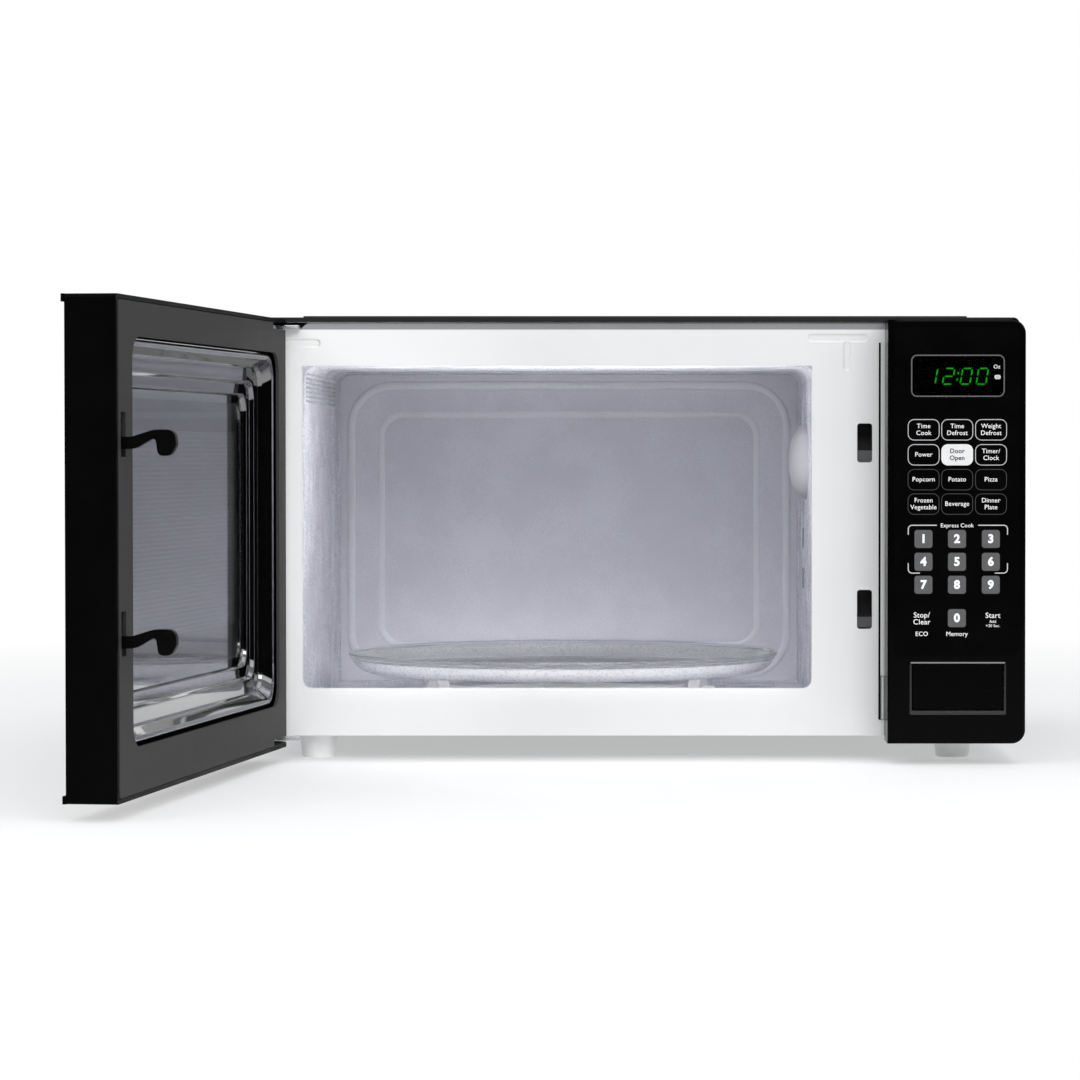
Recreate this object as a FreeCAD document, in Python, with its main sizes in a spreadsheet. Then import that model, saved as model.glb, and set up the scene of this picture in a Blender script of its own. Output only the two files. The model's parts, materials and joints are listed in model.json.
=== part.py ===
import FreeCAD, Part
import math
import os
import re

import Sketcher

# Countertop microwave oven, millimetres. X runs along the front from the hinge side to the control
# panel, Y runs from the front to the back and Z is up. The origin is on the plane that the feet
# stand on, at the centre of the casing's footprint. The door stands open, about its two hinge pins.

SIZES = {
    # casing
    "case_w": 511, "case_d": 388, "foot_rise": 16.8, "frame_top": 292, "wrap_top": 295.1,
    "skin": 0.9, "wrap_rad": 4, "sheet": 1, "emboss": 1.1, "emboss_half": 221, "hem_drop": 3.1,
    "spacer_d": 13.5, "foot_rad": 13, "foot_dx": 214, "foot_dy": 158,
    # front frame: cavity mouth, latch slots and control-side window
    "face_half": 254.2, "face_top": 287, "step_back": 3, "rim_d": 8,
    "mouth_x": -221.6, "mouth_w": 339.2, "mouth_z": 48.3, "mouth_hgt": 214.7, "mouth_rad": 6,
    "slot_x": 147.7, "slot_w": 10, "slot_hgt": 26, "slot_low": 87.9, "slot_high": 198.7,
    "port_x": 176, "port_w": 72, "port_z": 26, "port_hgt": 256,
    # vents, cord inlet and rear panel
    "side_vent_z": 70, "side_vent_y": 44, "grille_w": 9, "inlet_x": 228, "inlet_z": 46,
    "inlet_rad": 9, "hatch_half": 32,
    # cavity
    "cav_x": -225.8, "cav_w": 347.2, "cav_floor": 32, "cav_top": 264.5, "cav_d": 357, "cav_rad": 9,
    "pan_d": 7, "pan_edge": 8, "pan_slope": 22, "vent_rows": 7, "vent_cols": 14,
    "bead_rad": 123,
    # turntable
    "tray_rad": 152.5, "tray_x": -52.2, "tray_back": 178, "tray_z": 49, "tray_glass": 4,
    "tray_rim": 15, "tray_flat": 132, "ring_rad": 104, "roller_rad": 8.2, "roller_w": 9,
    "roll_gap": 0.3, "roller_turn": -24.4,
    "shaft_rad": 3, "coupler_rad": 9, "lobe_w": 6, "lobe_out": 21, "axle_rad": 1.5, "axle_fit": 0.06,
    "motor_rad": 24.5,
    # door, as it stands when it is shut
    "door_x": -256.5, "door_w": 421.5, "door_z": 10.2, "door_hgt": 283, "door_gap": 2, "door_t": 30,
    "trim_proud": 2, "trim_hgt": 4.5, "door_wall": 2.5, "pane_edge": 12.5, "pane_t": 3,
    "pin_x": -244.5, "pin_front": 15, "pin_rad": 3, "pin_fit": 0.05, "door_open": 97.3,
    "edge_rad": 9, "cover_t": 2, "win_x": -228.8, "win_w": 362.1, "win_z": 39, "win_hgt": 231.6,
    "win_rad": 14, "dish_d": 14, "arm_x": 150, "arm_w": 5, "arm_reach": 30, "arm_travel": 5,
    # hinge plates
    "plate_t": 2.5, "plate_top_z": 287, "plate_low_z": 14.3,
    # control panel
    "panel_x": 166, "panel_w": 90.5, "panel_z": 14, "panel_hgt": 278.4, "panel_d": 34.5,
    "panel_rad": 9, "panel_wall": 2.5, "panel_bevel": 1.2, "lens_x": 181.3, "lens_w": 61,
    "lens_z": 242.5, "lens_hgt": 26.2, "key_x": 182.3, "key_w": 59.6, "key_z": 36.2, "key_hgt": 30,
    "key_gap": 0.5, "key_travel": 6, "board_t": 1.6,
    # works in the right-hand bay
    "fan_x": 188, "fan_z": 172, "fan_rad": 50, "fan_y": 138, "guide_z": 160, "guide_hgt": 85,
    "guide_out": 40, "guide_y": -45, "guide_len": 120, "dome_rad": 27, "dome_out": 13,
    "dome_y": -14, "dome_z": 199, "mag_y": 10, "mag_z": 200, "core_x": 150, "core_w": 96,
    "can_x": 176, "can_z": 46, "can_rad": 20, "lamp_y": -92, "lamp_z": 240,
}

DOC = FreeCAD.newDocument("microwave_oven")
SHEET = DOC.addObject("Spreadsheet::Sheet", "Sizes")
NODES = {}
AXIS_TURN = {
    "X": FreeCAD.Rotation(FreeCAD.Vector(0, 1, 0), 90),
    "Y": FreeCAD.Rotation(FreeCAD.Vector(1, 0, 0), -90),
    "Z": FreeCAD.Rotation(),
}


def fill_sheet():
    """One row a size: its name, its value in millimetres, and the name as the value's alias."""
    for row, (alias, value) in enumerate(SIZES.items(), 1):
        SHEET.set(f"A{row}", alias)
        SHEET.set(f"B{row}", str(value))
        SHEET.setAlias(f"B{row}", alias)
    DOC.recompute()


def linked(formula):
    """The formula with each size's name written as a reference to the sheet."""
    return re.sub(
        r"[a-z]\w*",
        lambda word: f"Sizes.{word[0]}" if word[0] in SIZES else word[0],
        str(formula),
    )


def size(alias):
    return float(SHEET.get(alias))


def bind(item, prop, formula):
    item.setExpression(prop, linked(formula))


# The corners of the base, as signs of X and Y, in the order that the feet take.
CORNERS = ((-1, -1), (1, -1), (1, 1), (-1, 1))

# The planes that most pieces are set out from, as formulas.
FACE = "(-case_d / 2)"
BACK = "(case_d / 2)"
DOOR_IN = f"({FACE} - door_gap)"
DOOR_OUT = f"({DOOR_IN} - door_t)"
PIN_Y = f"({FACE} - pin_front)"
TRAY_Y = f"({FACE} + tray_back)"
PANEL_FACE = f"({FACE} - panel_d)"
AXLE_Z = "(cav_floor + roller_rad + roll_gap)"
CAV_END = f"({FACE} + sheet + cav_d)"
CAV_SIDE = "(cav_x + cav_w)"
BAY_WALL = f"({CAV_SIDE} + sheet)"


def box(name, x, y, z):
    """A block; x, y and z are each a low and a high formula."""
    item = DOC.addObject("Part::Box", name)
    for prop, side, (low, high) in zip(("Length", "Width", "Height"), "xyz", (x, y, z)):
        bind(item, prop, f"({high}) - ({low})")
        bind(item, f"Placement.Base.{side}", low)
    return item


def rod(name, axis, centre, span, radius):
    """A cylinder along an axis letter; centre holds the other two coordinates, in X, Y, Z order."""
    item = DOC.addObject("Part::Cylinder", name)
    item.Placement = FreeCAD.Placement(FreeCAD.Vector(), AXIS_TURN[axis])
    bind(item, "Radius", radius)
    bind(item, "Height", f"({span[1]}) - ({span[0]})")
    across = iter(centre)
    for side in "xyz":
        bind(item, f"Placement.Base.{side}", span[0] if side == axis.lower() else next(across))
    return item


def cone(name, centre, span, low_radius, high_radius):
    """A cone along Z."""
    item = DOC.addObject("Part::Cone", name)
    bind(item, "Radius1", low_radius)
    bind(item, "Radius2", high_radius)
    bind(item, "Height", f"({span[1]}) - ({span[0]})")
    for side, formula in zip("xyz", (*centre, span[0])):
        bind(item, f"Placement.Base.{side}", formula)
    return item


def fuse(name, *pieces):
    item = DOC.addObject("Part::MultiFuse", name)
    item.Shapes = list(pieces)
    item.Refine = True
    return item


def group(name, pieces):
    """Several separate solids held as one item."""
    item = DOC.addObject("Part::Compound", name)
    item.Links = list(pieces)
    return item


def cut(name, base, *tools):
    item = DOC.addObject("Part::Cut", name)
    item.Base = base
    item.Tool = tools[0] if len(tools) == 1 else group(f"{name}_cuts", tools)
    return item


def new_sketch(body, role, offset):
    """A sketch on one of the body's own origin planes, moved along the plane's normal."""
    sketch = body.newObject("Sketcher::SketchObject", f"{body.Name}_sketch")
    plane = next(item for item in body.Origin.OriginFeatures if item.Role == role)
    sketch.AttachmentSupport = [(plane, "")]
    sketch.MapMode = "FlatFace"
    bind(sketch, "AttachmentOffset.Base.z", offset)
    return sketch


def worth(formula):
    """A formula's value, to draw a sketch near its final size before its constraints are bound."""
    return float(SHEET.evalExpression(linked(formula)))


def rounded_rectangle(sketch, left, low, width, height, radius):
    """Four lines and four arcs, fully constrained by formulas."""
    x, y, w, h, r = (worth(f) for f in (left, low, width, height, radius))
    first = sketch.GeometryCount
    corners = [(x + w - r, y + r, -90), (x + w - r, y + h - r, 0), (x + r, y + h - r, 90),
               (x + r, y + r, 180)]
    ends = [((x + r, y), (x + w - r, y)), ((x + w, y + r), (x + w, y + h - r)),
            ((x + w - r, y + h), (x + r, y + h)), ((x, y + h - r), (x, y + r))]
    for (start, end), (cx, cy, turn) in zip(ends, corners):
        line = Part.LineSegment(FreeCAD.Vector(*start, 0), FreeCAD.Vector(*end, 0))
        circle = Part.Circle(FreeCAD.Vector(cx, cy, 0), FreeCAD.Vector(0, 0, 1), r)
        arc = Part.ArcOfCircle(circle, math.radians(turn), math.radians(turn + 90))
        sketch.addGeometry([line, arc], False)
    rules = [Sketcher.Constraint("Tangent", first + n, 2, first + (n + 1) % 8, 1) for n in range(8)]
    rules += [Sketcher.Constraint("Horizontal", first + n) for n in (0, 4)]
    rules += [Sketcher.Constraint("Vertical", first + n) for n in (2, 6)]
    rules += [Sketcher.Constraint("Equal", first + 1, first + n) for n in (3, 5, 7)]
    sketch.addConstraint(rules)
    sized = [
        (Sketcher.Constraint("Radius", first + 1, r), radius),
        (Sketcher.Constraint("DistanceX", first + 6, 1, first + 2, 1, w), width),
        (Sketcher.Constraint("DistanceY", first, 1, first + 4, 1, h), height),
        (Sketcher.Constraint("DistanceX", -1, 1, first + 6, 1, x), left),
        (Sketcher.Constraint("DistanceY", -1, 1, first, 1, y), low),
    ]
    for rule, formula in sized:
        bind(sketch, f"Constraints[{sketch.addConstraint(rule)}]", formula)


def pad_upright(body, front, thickness, *outlines):
    """A pad of rounded rectangles on the XZ plane, from the front formula towards the back."""
    sketch = new_sketch(body, "XZ_Plane", f"-({front})")
    for outline in outlines:
        rounded_rectangle(sketch, *outline)
    pad = body.newObject("PartDesign::Pad", f"{body.Name}_pad")
    pad.Profile = sketch
    pad.Reversed = True
    bind(pad, "Length", thickness)
    sketch.Visibility = False
    return pad


def upright_plate(name, front, thickness, *outlines):
    """A plate that stands across the oven: the first outline less the others."""
    body = DOC.addObject("PartDesign::Body", name)
    pad_upright(body, front, thickness, *outlines)
    return body


def turned(name, axis_at, profile):
    """A body revolved about a vertical axis from (radius, height) formula pairs."""
    body = DOC.addObject("PartDesign::Body", name)
    sketch = new_sketch(body, "XZ_Plane", 0)
    points = [FreeCAD.Vector(worth(r), worth(z), 0) for r, z in profile]
    for start, end in zip(points, points[1:] + points[:1]):
        sketch.addGeometry(Part.LineSegment(start, end), False)
    count = len(points)
    for n in range(count):
        sketch.addConstraint(Sketcher.Constraint("Coincident", n, 2, (n + 1) % count, 1))
    for n, (radius, height) in enumerate(profile):
        across = Sketcher.Constraint("DistanceX", -1, 1, n, 1, points[n].x)
        bind(sketch, f"Constraints[{sketch.addConstraint(across)}]", radius)
        up = Sketcher.Constraint("DistanceY", -1, 1, n, 1, points[n].y)
        bind(sketch, f"Constraints[{sketch.addConstraint(up)}]", height)
    spin = body.newObject("PartDesign::Revolution", f"{name}_spin")
    spin.Profile = sketch
    spin.ReferenceAxis = (sketch, ["V_Axis"])
    spin.Angle = 360
    bind(body, "Placement.Base.x", axis_at[0])
    bind(body, "Placement.Base.y", axis_at[1])
    return body


def corner_arc(before, corner, after, radius):
    """The arc that rounds a corner of an outline, tangent to the two lines that meet there."""
    back = (before - corner).normalize()
    on = (after - corner).normalize()
    half = back.getAngle(on) / 2
    middle = (back + on).normalize()
    deep = corner + middle * (radius / math.sin(half) - radius)
    reach = radius / math.tan(half)
    return Part.Arc(corner + back * reach, deep, corner + on * reach).toShape()


def side_profile(name, x_low, x_high, points):
    """A plate between two X values; its outline is a list of (y, z, corner radius) formulas."""
    corners = [FreeCAD.Vector(worth(x_low), worth(y), worth(z)) for y, z, _ in points]
    edges = []
    for n, (_, _, radius) in enumerate(points):
        before, after = corners[n - 1], corners[(n + 1) % len(corners)]
        edges.append(corner_arc(before, corners[n], after, radius))
    arcs = list(edges)
    for this, following in zip(arcs, arcs[1:] + arcs[:1]):
        edges.append(Part.makeLine(this.Vertexes[-1].Point, following.Vertexes[0].Point))
    wire = Part.Wire(Part.__sortEdges__(edges))
    item = DOC.addObject("Part::Feature", name)
    item.Shape = Part.Face(wire).extrude(FreeCAD.Vector(worth(x_high) - worth(x_low), 0, 0))
    return item


def coil(name, foot, axis, length, radius, wire, turns):
    """A coil spring: a round wire swept along a helix, along an axis letter from its foot."""
    inside = length - 2 * wire
    helix = Part.makeHelix(inside / turns, inside, radius)
    ring = Part.Circle(FreeCAD.Vector(radius, 0, 0), FreeCAD.Vector(0, 1, 0), wire / 2)
    item = DOC.addObject("Part::Feature", name)
    item.Shape = Part.Wire(helix).makePipeShell([Part.Wire(ring.toShape())], True, True)
    item.Placement = FreeCAD.Placement(FreeCAD.Vector(*foot), AXIS_TURN[axis])
    return item


def node(name, item):
    """Names a finished sub-part; its label is its file's name."""
    item.Label = name
    NODES[name] = item
    return item


def door_node(name, item):
    """A sub-part of the door: drawn shut, then swung open about the hinge pins."""
    pivot = FreeCAD.Vector(worth("pin_x"), worth(PIN_Y), 0)
    swing = FreeCAD.Rotation(FreeCAD.Vector(0, 0, 1), -size("door_open"))
    opened = FreeCAD.Placement(FreeCAD.Vector(), swing, pivot)
    item.Placement = opened.multiply(item.Placement)
    return node(name, item)


def screws(name, axis, places, shank, reach, head, head_t, facing):
    """Pan-head screws as separate solids. facing is -1 for a head on the low side, 1 for the high."""
    solids = []
    for n, (a, b, seat) in enumerate(places):
        tip = (f"({seat}) - ({facing}) * ({reach})", seat)
        cap = (seat, f"({seat}) + ({facing}) * ({head_t})")
        if facing < 0:
            tip, cap = tip[::-1], cap[::-1]
        solids.append(fuse(f"{name}_{n}", rod(f"{name}_shank_{n}", axis, (a, b), tip, shank),
                           rod(f"{name}_head_{n}", axis, (a, b), cap, head)))
    return group(name, solids)


MAG_AXIS = ("mag_y", "mag_z")


# --- casing ---------------------------------------------------------------------------------------

def make_outer_wrapper():
    half = "(case_w / 2)"
    inner = f"({half} - skin)"
    low = "foot_rise - 20"
    tube = upright_plate("wrap_tube", FACE, "case_d",
                         (f"-{half}", low, "case_w", f"wrap_top - ({low})", "wrap_rad"),
                         (f"-{inner}", f"{low} + skin", f"2 * {inner}", f"wrap_top - skin - ({low} + skin)",
                          "wrap_rad - skin"))
    below = box("wrap_below", (f"-{half} - 1", f"{half} + 1"), (f"{FACE} - 1", f"{BACK} + 1"),
                (f"{low} - 1", "foot_rise + 0.2"))
    crown = box("wrap_crown", ("-emboss_half", "emboss_half"), (f"{FACE} + 6", f"{BACK} - 14"),
                ("wrap_top", "wrap_top + emboss"))
    hem = box("wrap_hem", (f"-{inner} + wrap_rad", f"{inner} - wrap_rad"), (FACE, f"{FACE} + skin"),
              ("wrap_top - hem_drop", "wrap_top - skin"))
    shell = fuse("wrapper_shell", cut("wrap_bent", tube, below), crown, hem)
    vents = []
    for side in (-1, 1):
        x = (f"{side} * {half} - 2", f"{side} * {half} + 2")
        for row in range(3):
            for col in range(12):
                y = f"side_vent_y + {col} * 10"
                z = f"side_vent_z + {row} * 26"
                vents.append(box(f"side_vent_{side + 1}_{row}_{col}", x, (y, f"{y} + 4"),
                                 (z, f"{z} + 18")))
    node("outer_wrapper", cut("wrapper_cut", shell, *vents))


def make_base_plate():
    low = "foot_rise + sheet"
    plate = box("base_blank", ("-face_half + sheet", "face_half - sheet"),
                (f"{FACE} + sheet", f"{BACK} - sheet"), (low, f"{low} + sheet"))
    slots = [box(f"base_slot_{n}", (f"150 + {n} * 9", f"154 + {n} * 9"), ("60", "110"),
                 ("foot_rise", "foot_rise + 4")) for n in range(9)]
    hatch = box("base_hatch", ("tray_x - hatch_half", "tray_x + hatch_half"),
                (f"{TRAY_Y} - hatch_half", f"{TRAY_Y} + hatch_half"), ("foot_rise", "foot_rise + 4"))
    screw_holes = [rod(f"foot_hole_{n}", "Z", (f"{sx} * foot_dx", f"{sy} * foot_dy"),
                       ("foot_rise", "foot_rise + 4"), 2.2)
                   for n, (sx, sy) in enumerate(CORNERS)]
    node("base_plate", cut("base_cut", plate, *slots, hatch, *screw_holes))
    cover = box("hatch_cover_plate", ("tray_x - hatch_half - 6", "tray_x + hatch_half + 6"),
                (f"{TRAY_Y} - hatch_half - 6", f"{TRAY_Y} + hatch_half + 6"),
                ("foot_rise", "foot_rise + sheet"))
    node("motor_access_cover", cover)


def make_feet():
    pads = []
    for n, (sx, sy) in enumerate(CORNERS):
        at = (f"{sx} * foot_dx", f"{sy} * foot_dy")
        pads.append(fuse(f"foot_{n}", cone(f"foot_pad_{n}", at, (0, "foot_rise + sheet"),
                                           "foot_rad - 2", "foot_rad"),
                         rod(f"foot_peg_{n}", "Z", at, ("foot_rise", "foot_rise + 5"), 2.1)))
    node("feet", group("feet_group", pads))


def make_rear_panel():
    plate = box("rear_blank", ("-face_half", "face_half"), (f"{BACK} - sheet", BACK),
                ("foot_rise", "frame_top"))
    through = (f"{BACK} - 3", f"{BACK} + 1")
    grille = []
    for row in range(10):
        for col in range(8):
            x = f"fan_x - 46 + {col} * 12"
            z = f"fan_z - 44 + {row} * 9"
            grille.append(box(f"grille_{row}_{col}", (x, f"{x} + grille_w"), through, (z, f"{z} + 4")))
    for col in range(14):
        x = f"-180 + {col} * 14"
        grille.append(box(f"exhaust_{col}", (x, f"{x} + 5"), through, ("225", "262")))
    at = ("inlet_x", "inlet_z")
    inlet = rod("inlet_hole", "Y", at, through, "inlet_rad")
    node("rear_panel", cut("rear_cut", plate, *grille, inlet))
    sleeve = rod("inlet_sleeve", "Y", at, (f"{BACK} - 10", f"{BACK} + 3"), "inlet_rad - 0.1")
    flange = rod("inlet_flange", "Y", at, (BACK, f"{BACK} + 3"), "inlet_rad + 3")
    bore = rod("inlet_bore", "Y", at, (f"{BACK} - 11", f"{BACK} + 4"), "inlet_rad / 2")
    node("cord_inlet_bushing", cut("inlet_cut", fuse("inlet_blank", sleeve, flange), bore))
    blocks = [box(f"spacer_{n}", (x, f"{x} + 26"), (BACK, f"{BACK} + spacer_d"), ("236", "276"))
              for n, x in enumerate(("-232", "206"))]
    node("rear_spacers", group("spacer_group", blocks))


def make_front_frame():
    rear = f"({FACE} + sheet)"
    mouth = ("mouth_x", "mouth_z", "mouth_w", "mouth_hgt", "mouth_rad")
    outer = ("-face_half", "foot_rise", "2 * face_half", "face_top - foot_rise", 1.5)
    body = DOC.addObject("PartDesign::Body", "frame_body")
    pad_upright(body, FACE, "sheet", outer, mouth,
                ("slot_x", "slot_low", "slot_w", "slot_hgt", 2),
                ("slot_x", "slot_high", "slot_w", "slot_hgt", 2),
                ("port_x", "port_z", "port_w", "port_hgt", 4))
    lip = ("mouth_x - sheet", "mouth_z - sheet", "mouth_w + 2 * sheet", "mouth_hgt + 2 * sheet",
           "mouth_rad + sheet")
    pad_upright(body, rear, "rim_d - 3", lip, mouth)
    floor_rim = box("rim_low", ("-face_half", "face_half"), (rear, f"{rear} + rim_d"),
                    ("foot_rise", "foot_rise + sheet"))
    sides = [box(f"rim_side_{n}", span, (rear, f"{rear} + rim_d"), ("foot_rise", "frame_top"))
             for n, span in enumerate((("-face_half", "-face_half + sheet"),
                                       ("face_half - sheet", "face_half")))]
    shelf = box("rim_shelf", ("-face_half", "face_half"), (rear, f"{FACE} + step_back + sheet"),
                ("face_top - sheet", "face_top"))
    riser = box("rim_riser", ("-face_half + wrap_rad", "face_half - wrap_rad"),
                (f"{FACE} + step_back", f"{FACE} + step_back + sheet"), ("face_top", "wrap_top - skin"))
    node("front_frame", fuse("frame_fuse", body, floor_rim, *sides, shelf, riser))


# --- cavity ---------------------------------------------------------------------------------------

def make_cavity():
    start = f"({FACE} + sheet)"
    tube = upright_plate("cavity_tube", start, "cav_d",
                         ("cav_x - sheet", "cav_floor - 20", "cav_w + 2 * sheet",
                          "cav_top - cav_floor + 20 + sheet", "cav_rad + sheet"),
                         ("cav_x", "cav_floor - 19", "cav_w", "cav_top - cav_floor + 19", "cav_rad"))
    below = box("cavity_below", ("cav_x - 5", f"{CAV_SIDE} + 5"), (f"{start} - 1", f"{CAV_END} + 1"),
                ("cav_floor - 25", "cav_floor"))
    holes = []
    for row in range(int(size("vent_rows"))):
        for col in range(int(size("vent_cols"))):
            y = f"{FACE} + 76 + {col} * 17"
            z = f"240 + {row} * 3.1"
            holes.append(box(f"louvre_{row}_{col}", ("cav_x - 3", "cav_x + 1"), (y, f"{y} + 13"),
                             (z, f"{z} + 1.5")))
    for n, z in enumerate(("106.7", "135.9")):
        holes.append(box(f"wall_slot_{n}", (f"{CAV_SIDE} - 1", f"{CAV_SIDE} + 3"),
                         (f"{FACE} + 233", f"{FACE} + 238"), (z, f"{z} + 14.5")))
    holes.append(rod("sensor_hole", "X", (f"{FACE} + 222", "163"),
                     (f"{CAV_SIDE} - 1", f"{CAV_SIDE} + 3"), 2))
    holes.append(box("feed_port", (f"{CAV_SIDE} - 1", f"{CAV_SIDE} + 3"), ("dome_y - 19", "dome_y + 19"),
                     ("dome_z - 15", "dome_z + 15")))
    node("cavity_wrap", cut("cavity_cut", tube, below, *holes))

    floor = box("floor_blank", ("cav_x - sheet", f"{CAV_SIDE} + sheet"), (start, CAV_END),
                ("cav_floor - sheet", "cav_floor"))
    shaft_hole = rod("floor_hole", "Z", ("tray_x", TRAY_Y), ("cav_floor - 2", "cav_floor + 1"),
                     "shaft_rad + 1.5")
    bead = turned("floor_bead", ("tray_x", TRAY_Y),
                  [("bead_rad - 5", "cav_floor"), ("bead_rad + 5", "cav_floor"),
                   ("bead_rad + 2", "cav_floor + 1.6"), ("bead_rad - 2", "cav_floor + 1.6")])
    node("cavity_floor", cut("floor_cut", fuse("floor_fuse", floor, bead), shaft_hole))

    whole = ("cav_x - sheet", "cav_floor - sheet", "cav_w + 2 * sheet",
             "cav_top - cav_floor + 2 * sheet", "cav_rad + sheet")
    body = DOC.addObject("PartDesign::Body", "cavity_back_body")
    pad_upright(body, CAV_END, "sheet", whole)
    outer = ("cav_x + pan_edge", "cav_floor + 4", "cav_w - 2 * pan_edge",
             "cav_top - cav_floor - 12", 26)
    inner = ("cav_x + pan_edge + pan_slope", "cav_floor + 4 + pan_slope",
             "cav_w - 2 * pan_edge - 2 * pan_slope", "cav_top - cav_floor - 12 - 2 * pan_slope", 15)
    for kind, ahead, depth in (("Additive", "sheet", "pan_d + sheet"), ("Subtractive", "0", "pan_d")):
        mouth = new_sketch(body, "XZ_Plane", f"-({CAV_END} + {ahead} * 0.5)")
        rounded_rectangle(mouth, *outer)
        bottom = new_sketch(body, "XZ_Plane", f"-({CAV_END} + {depth})")
        rounded_rectangle(bottom, *inner)
        loft = body.newObject(f"PartDesign::{kind}Loft", f"pan_{kind}")
        loft.Profile = mouth
        loft.Sections = [bottom]
        DOC.recompute()
    node("cavity_back", body)


def make_waveguide():
    near, far = BAY_WALL, f"({BAY_WALL} + guide_out)"
    y = ("guide_y", "guide_y + guide_len")
    z = ("guide_z", "guide_z + guide_hgt")
    outer = box("guide_outer", (near, far), y, z)
    inner = box("guide_inner", (f"{near} - 1", f"{far} - sheet"),
                ("guide_y + sheet", "guide_y + guide_len - sheet"),
                ("guide_z + sheet", "guide_z + guide_hgt - sheet"))
    socket = rod("guide_socket", "X", MAG_AXIS, (f"{far} - 3", f"{far} + 1"), 14)
    node("waveguide", cut("guide_cut", outer, inner, socket))
    ball = DOC.addObject("Part::Ellipsoid", "dome_ball")
    bind(ball, "Radius1", "dome_out")
    bind(ball, "Radius2", "dome_rad")
    bind(ball, "Radius3", "dome_rad - 2")
    bind(ball, "Placement.Base.x", CAV_SIDE)
    bind(ball, "Placement.Base.y", "dome_y")
    bind(ball, "Placement.Base.z", "dome_z")
    ball.Placement.Rotation = FreeCAD.Rotation(FreeCAD.Vector(0, 1, 0), 90)
    inside = box("dome_side", (f"{CAV_SIDE} - 40", CAV_SIDE), ("dome_y - 40", "dome_y + 40"),
                 ("dome_z - 40", "dome_z + 40"))
    dome = DOC.addObject("Part::Common", "dome_half")
    dome.Base = ball
    dome.Tool = inside
    node("waveguide_cover", dome)


# --- turntable ------------------------------------------------------------------------------------

def make_turntable():
    at = ("tray_x", TRAY_Y)
    flat, rim, low, top = "tray_flat", "tray_rad", "tray_z", "tray_z + tray_rim"
    profile = [(0, low), (flat, low), (f"{rim} - 5", f"{low} + 4"), (f"{rim} - 1.5", f"{top} - 3"),
               (rim, top), (f"{rim} - 3.5", top), (f"{rim} - 6", f"{top} - 4"),
               (f"{rim} - 9", f"{low} + 8"), (f"{flat} - 2", f"{low} + tray_glass"),
               (0, f"{low} + tray_glass")]
    node("glass_tray", turned("tray_body", at, profile))
    hub = rod("coupler_hub", "Z", at, ("cav_floor + 0.6", "tray_z - 3"), "coupler_rad")
    lobes = []
    for n in range(3):
        lobe = part_item(f"coupler_lobe_{n}", "Part::Box", Length="lobe_w", Width="lobe_out - 8", Height=4.6)
        lobes.append(around(lobe, 120 * n, (-size("lobe_w") / 2, 4, worth("tray_z - 5"))))
    stem = rod("coupler_stem", "Z", at, ("cav_floor - 3", "cav_floor + 1"), "shaft_rad")
    node("drive_coupler", fuse("coupler_fuse", hub, *lobes, stem))

    motor_top = "cav_floor - sheet - 0.2"
    motor = rod("motor_can", "Z", at, ("foot_rise + 2.4", motor_top), "motor_rad")
    shaft_gap = rod("motor_gap", "Z", at, ("cav_floor - 4", "cav_floor"), "shaft_rad + 0.5")
    ears = box("motor_ears", ("tray_x - motor_rad - 6.5", "tray_x + motor_rad + 6.5"),
               (f"{TRAY_Y} - 5", f"{TRAY_Y} + 5"), (f"{motor_top} - 1.2", motor_top))
    node("turntable_motor", cut("motor_cut", fuse("motor_fuse", motor, ears), shaft_gap))


def part_item(name, kind, **sizes):
    """A plain solid of the Part workbench, with a formula for each of its sizes and no place yet."""
    item = DOC.addObject(kind, name)
    for prop, formula in sizes.items():
        bind(item, prop, str(formula))
    return item


def around(item, angle, corner, lean=FreeCAD.Rotation()):
    """Puts an item at a corner given from the tray's axis, then turns it about that axis."""
    turn = FreeCAD.Rotation(FreeCAD.Vector(0, 0, 1), angle)
    axis = FreeCAD.Vector(worth("tray_x"), worth(TRAY_Y), 0)
    item.Placement = FreeCAD.Placement(axis + turn.multVec(FreeCAD.Vector(*corner)), turn.multiply(lean))
    return item


def flat_hoop(name, inner, outer, below, above):
    """A ring about the tray's axis, from its two radii and its heights below and above the axles."""
    return turned(name, ("tray_x", TRAY_Y),
                  [(inner, f"{AXLE_Z} - {below}"), (outer, f"{AXLE_Z} - {below}"),
                   (outer, f"{AXLE_Z} + {above}"), (inner, f"{AXLE_Z} + {above}")])


def make_roller_ring():
    """A rail with three spokes to a central eye, and three wheels outside it that the tray rests on."""
    rail = flat_hoop("ring_rail", "ring_rad - 8", "ring_rad - 5", 2.5, 2.5)
    eye = flat_hoop("ring_eye", "coupler_rad + 3", "coupler_rad + 9", 2, 1)
    spokes, axles = [], []
    high = worth(AXLE_Z)
    reach = size("ring_rad")
    outward = AXIS_TURN["X"]
    for n in range(3):
        angle = size("roller_turn") + 120 * n
        spoke = part_item(f"ring_spoke_{n}", "Part::Box", Length="ring_rad - coupler_rad - 16", Width=5,
                          Height=3)
        spokes.append(around(spoke, angle, (size("coupler_rad") + 8.5, -2.5, high - 2)))
        axle = part_item(f"ring_axle_{n}", "Part::Cylinder", Radius="axle_rad", Height="roller_w + 11")
        axles.append(around(axle, angle, (reach - 6, 0, high), outward))
        wheel = part_item(f"wheel_{n}", "Part::Cylinder", Radius="roller_rad", Height="roller_w")
        bore = part_item(f"wheel_bore_{n}", "Part::Cylinder", Radius="axle_rad + axle_fit", Height="roller_w")
        for item in (wheel, bore):
            around(item, angle, (reach - 3.5, 0, high), outward)
        node(f"tray_roller_{n + 1}", cut(f"roller_cut_{n}", wheel, bore))
    node("roller_ring", fuse("ring_fuse", rail, eye, *spokes, *axles))


# --- door -----------------------------------------------------------------------------------------

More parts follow.
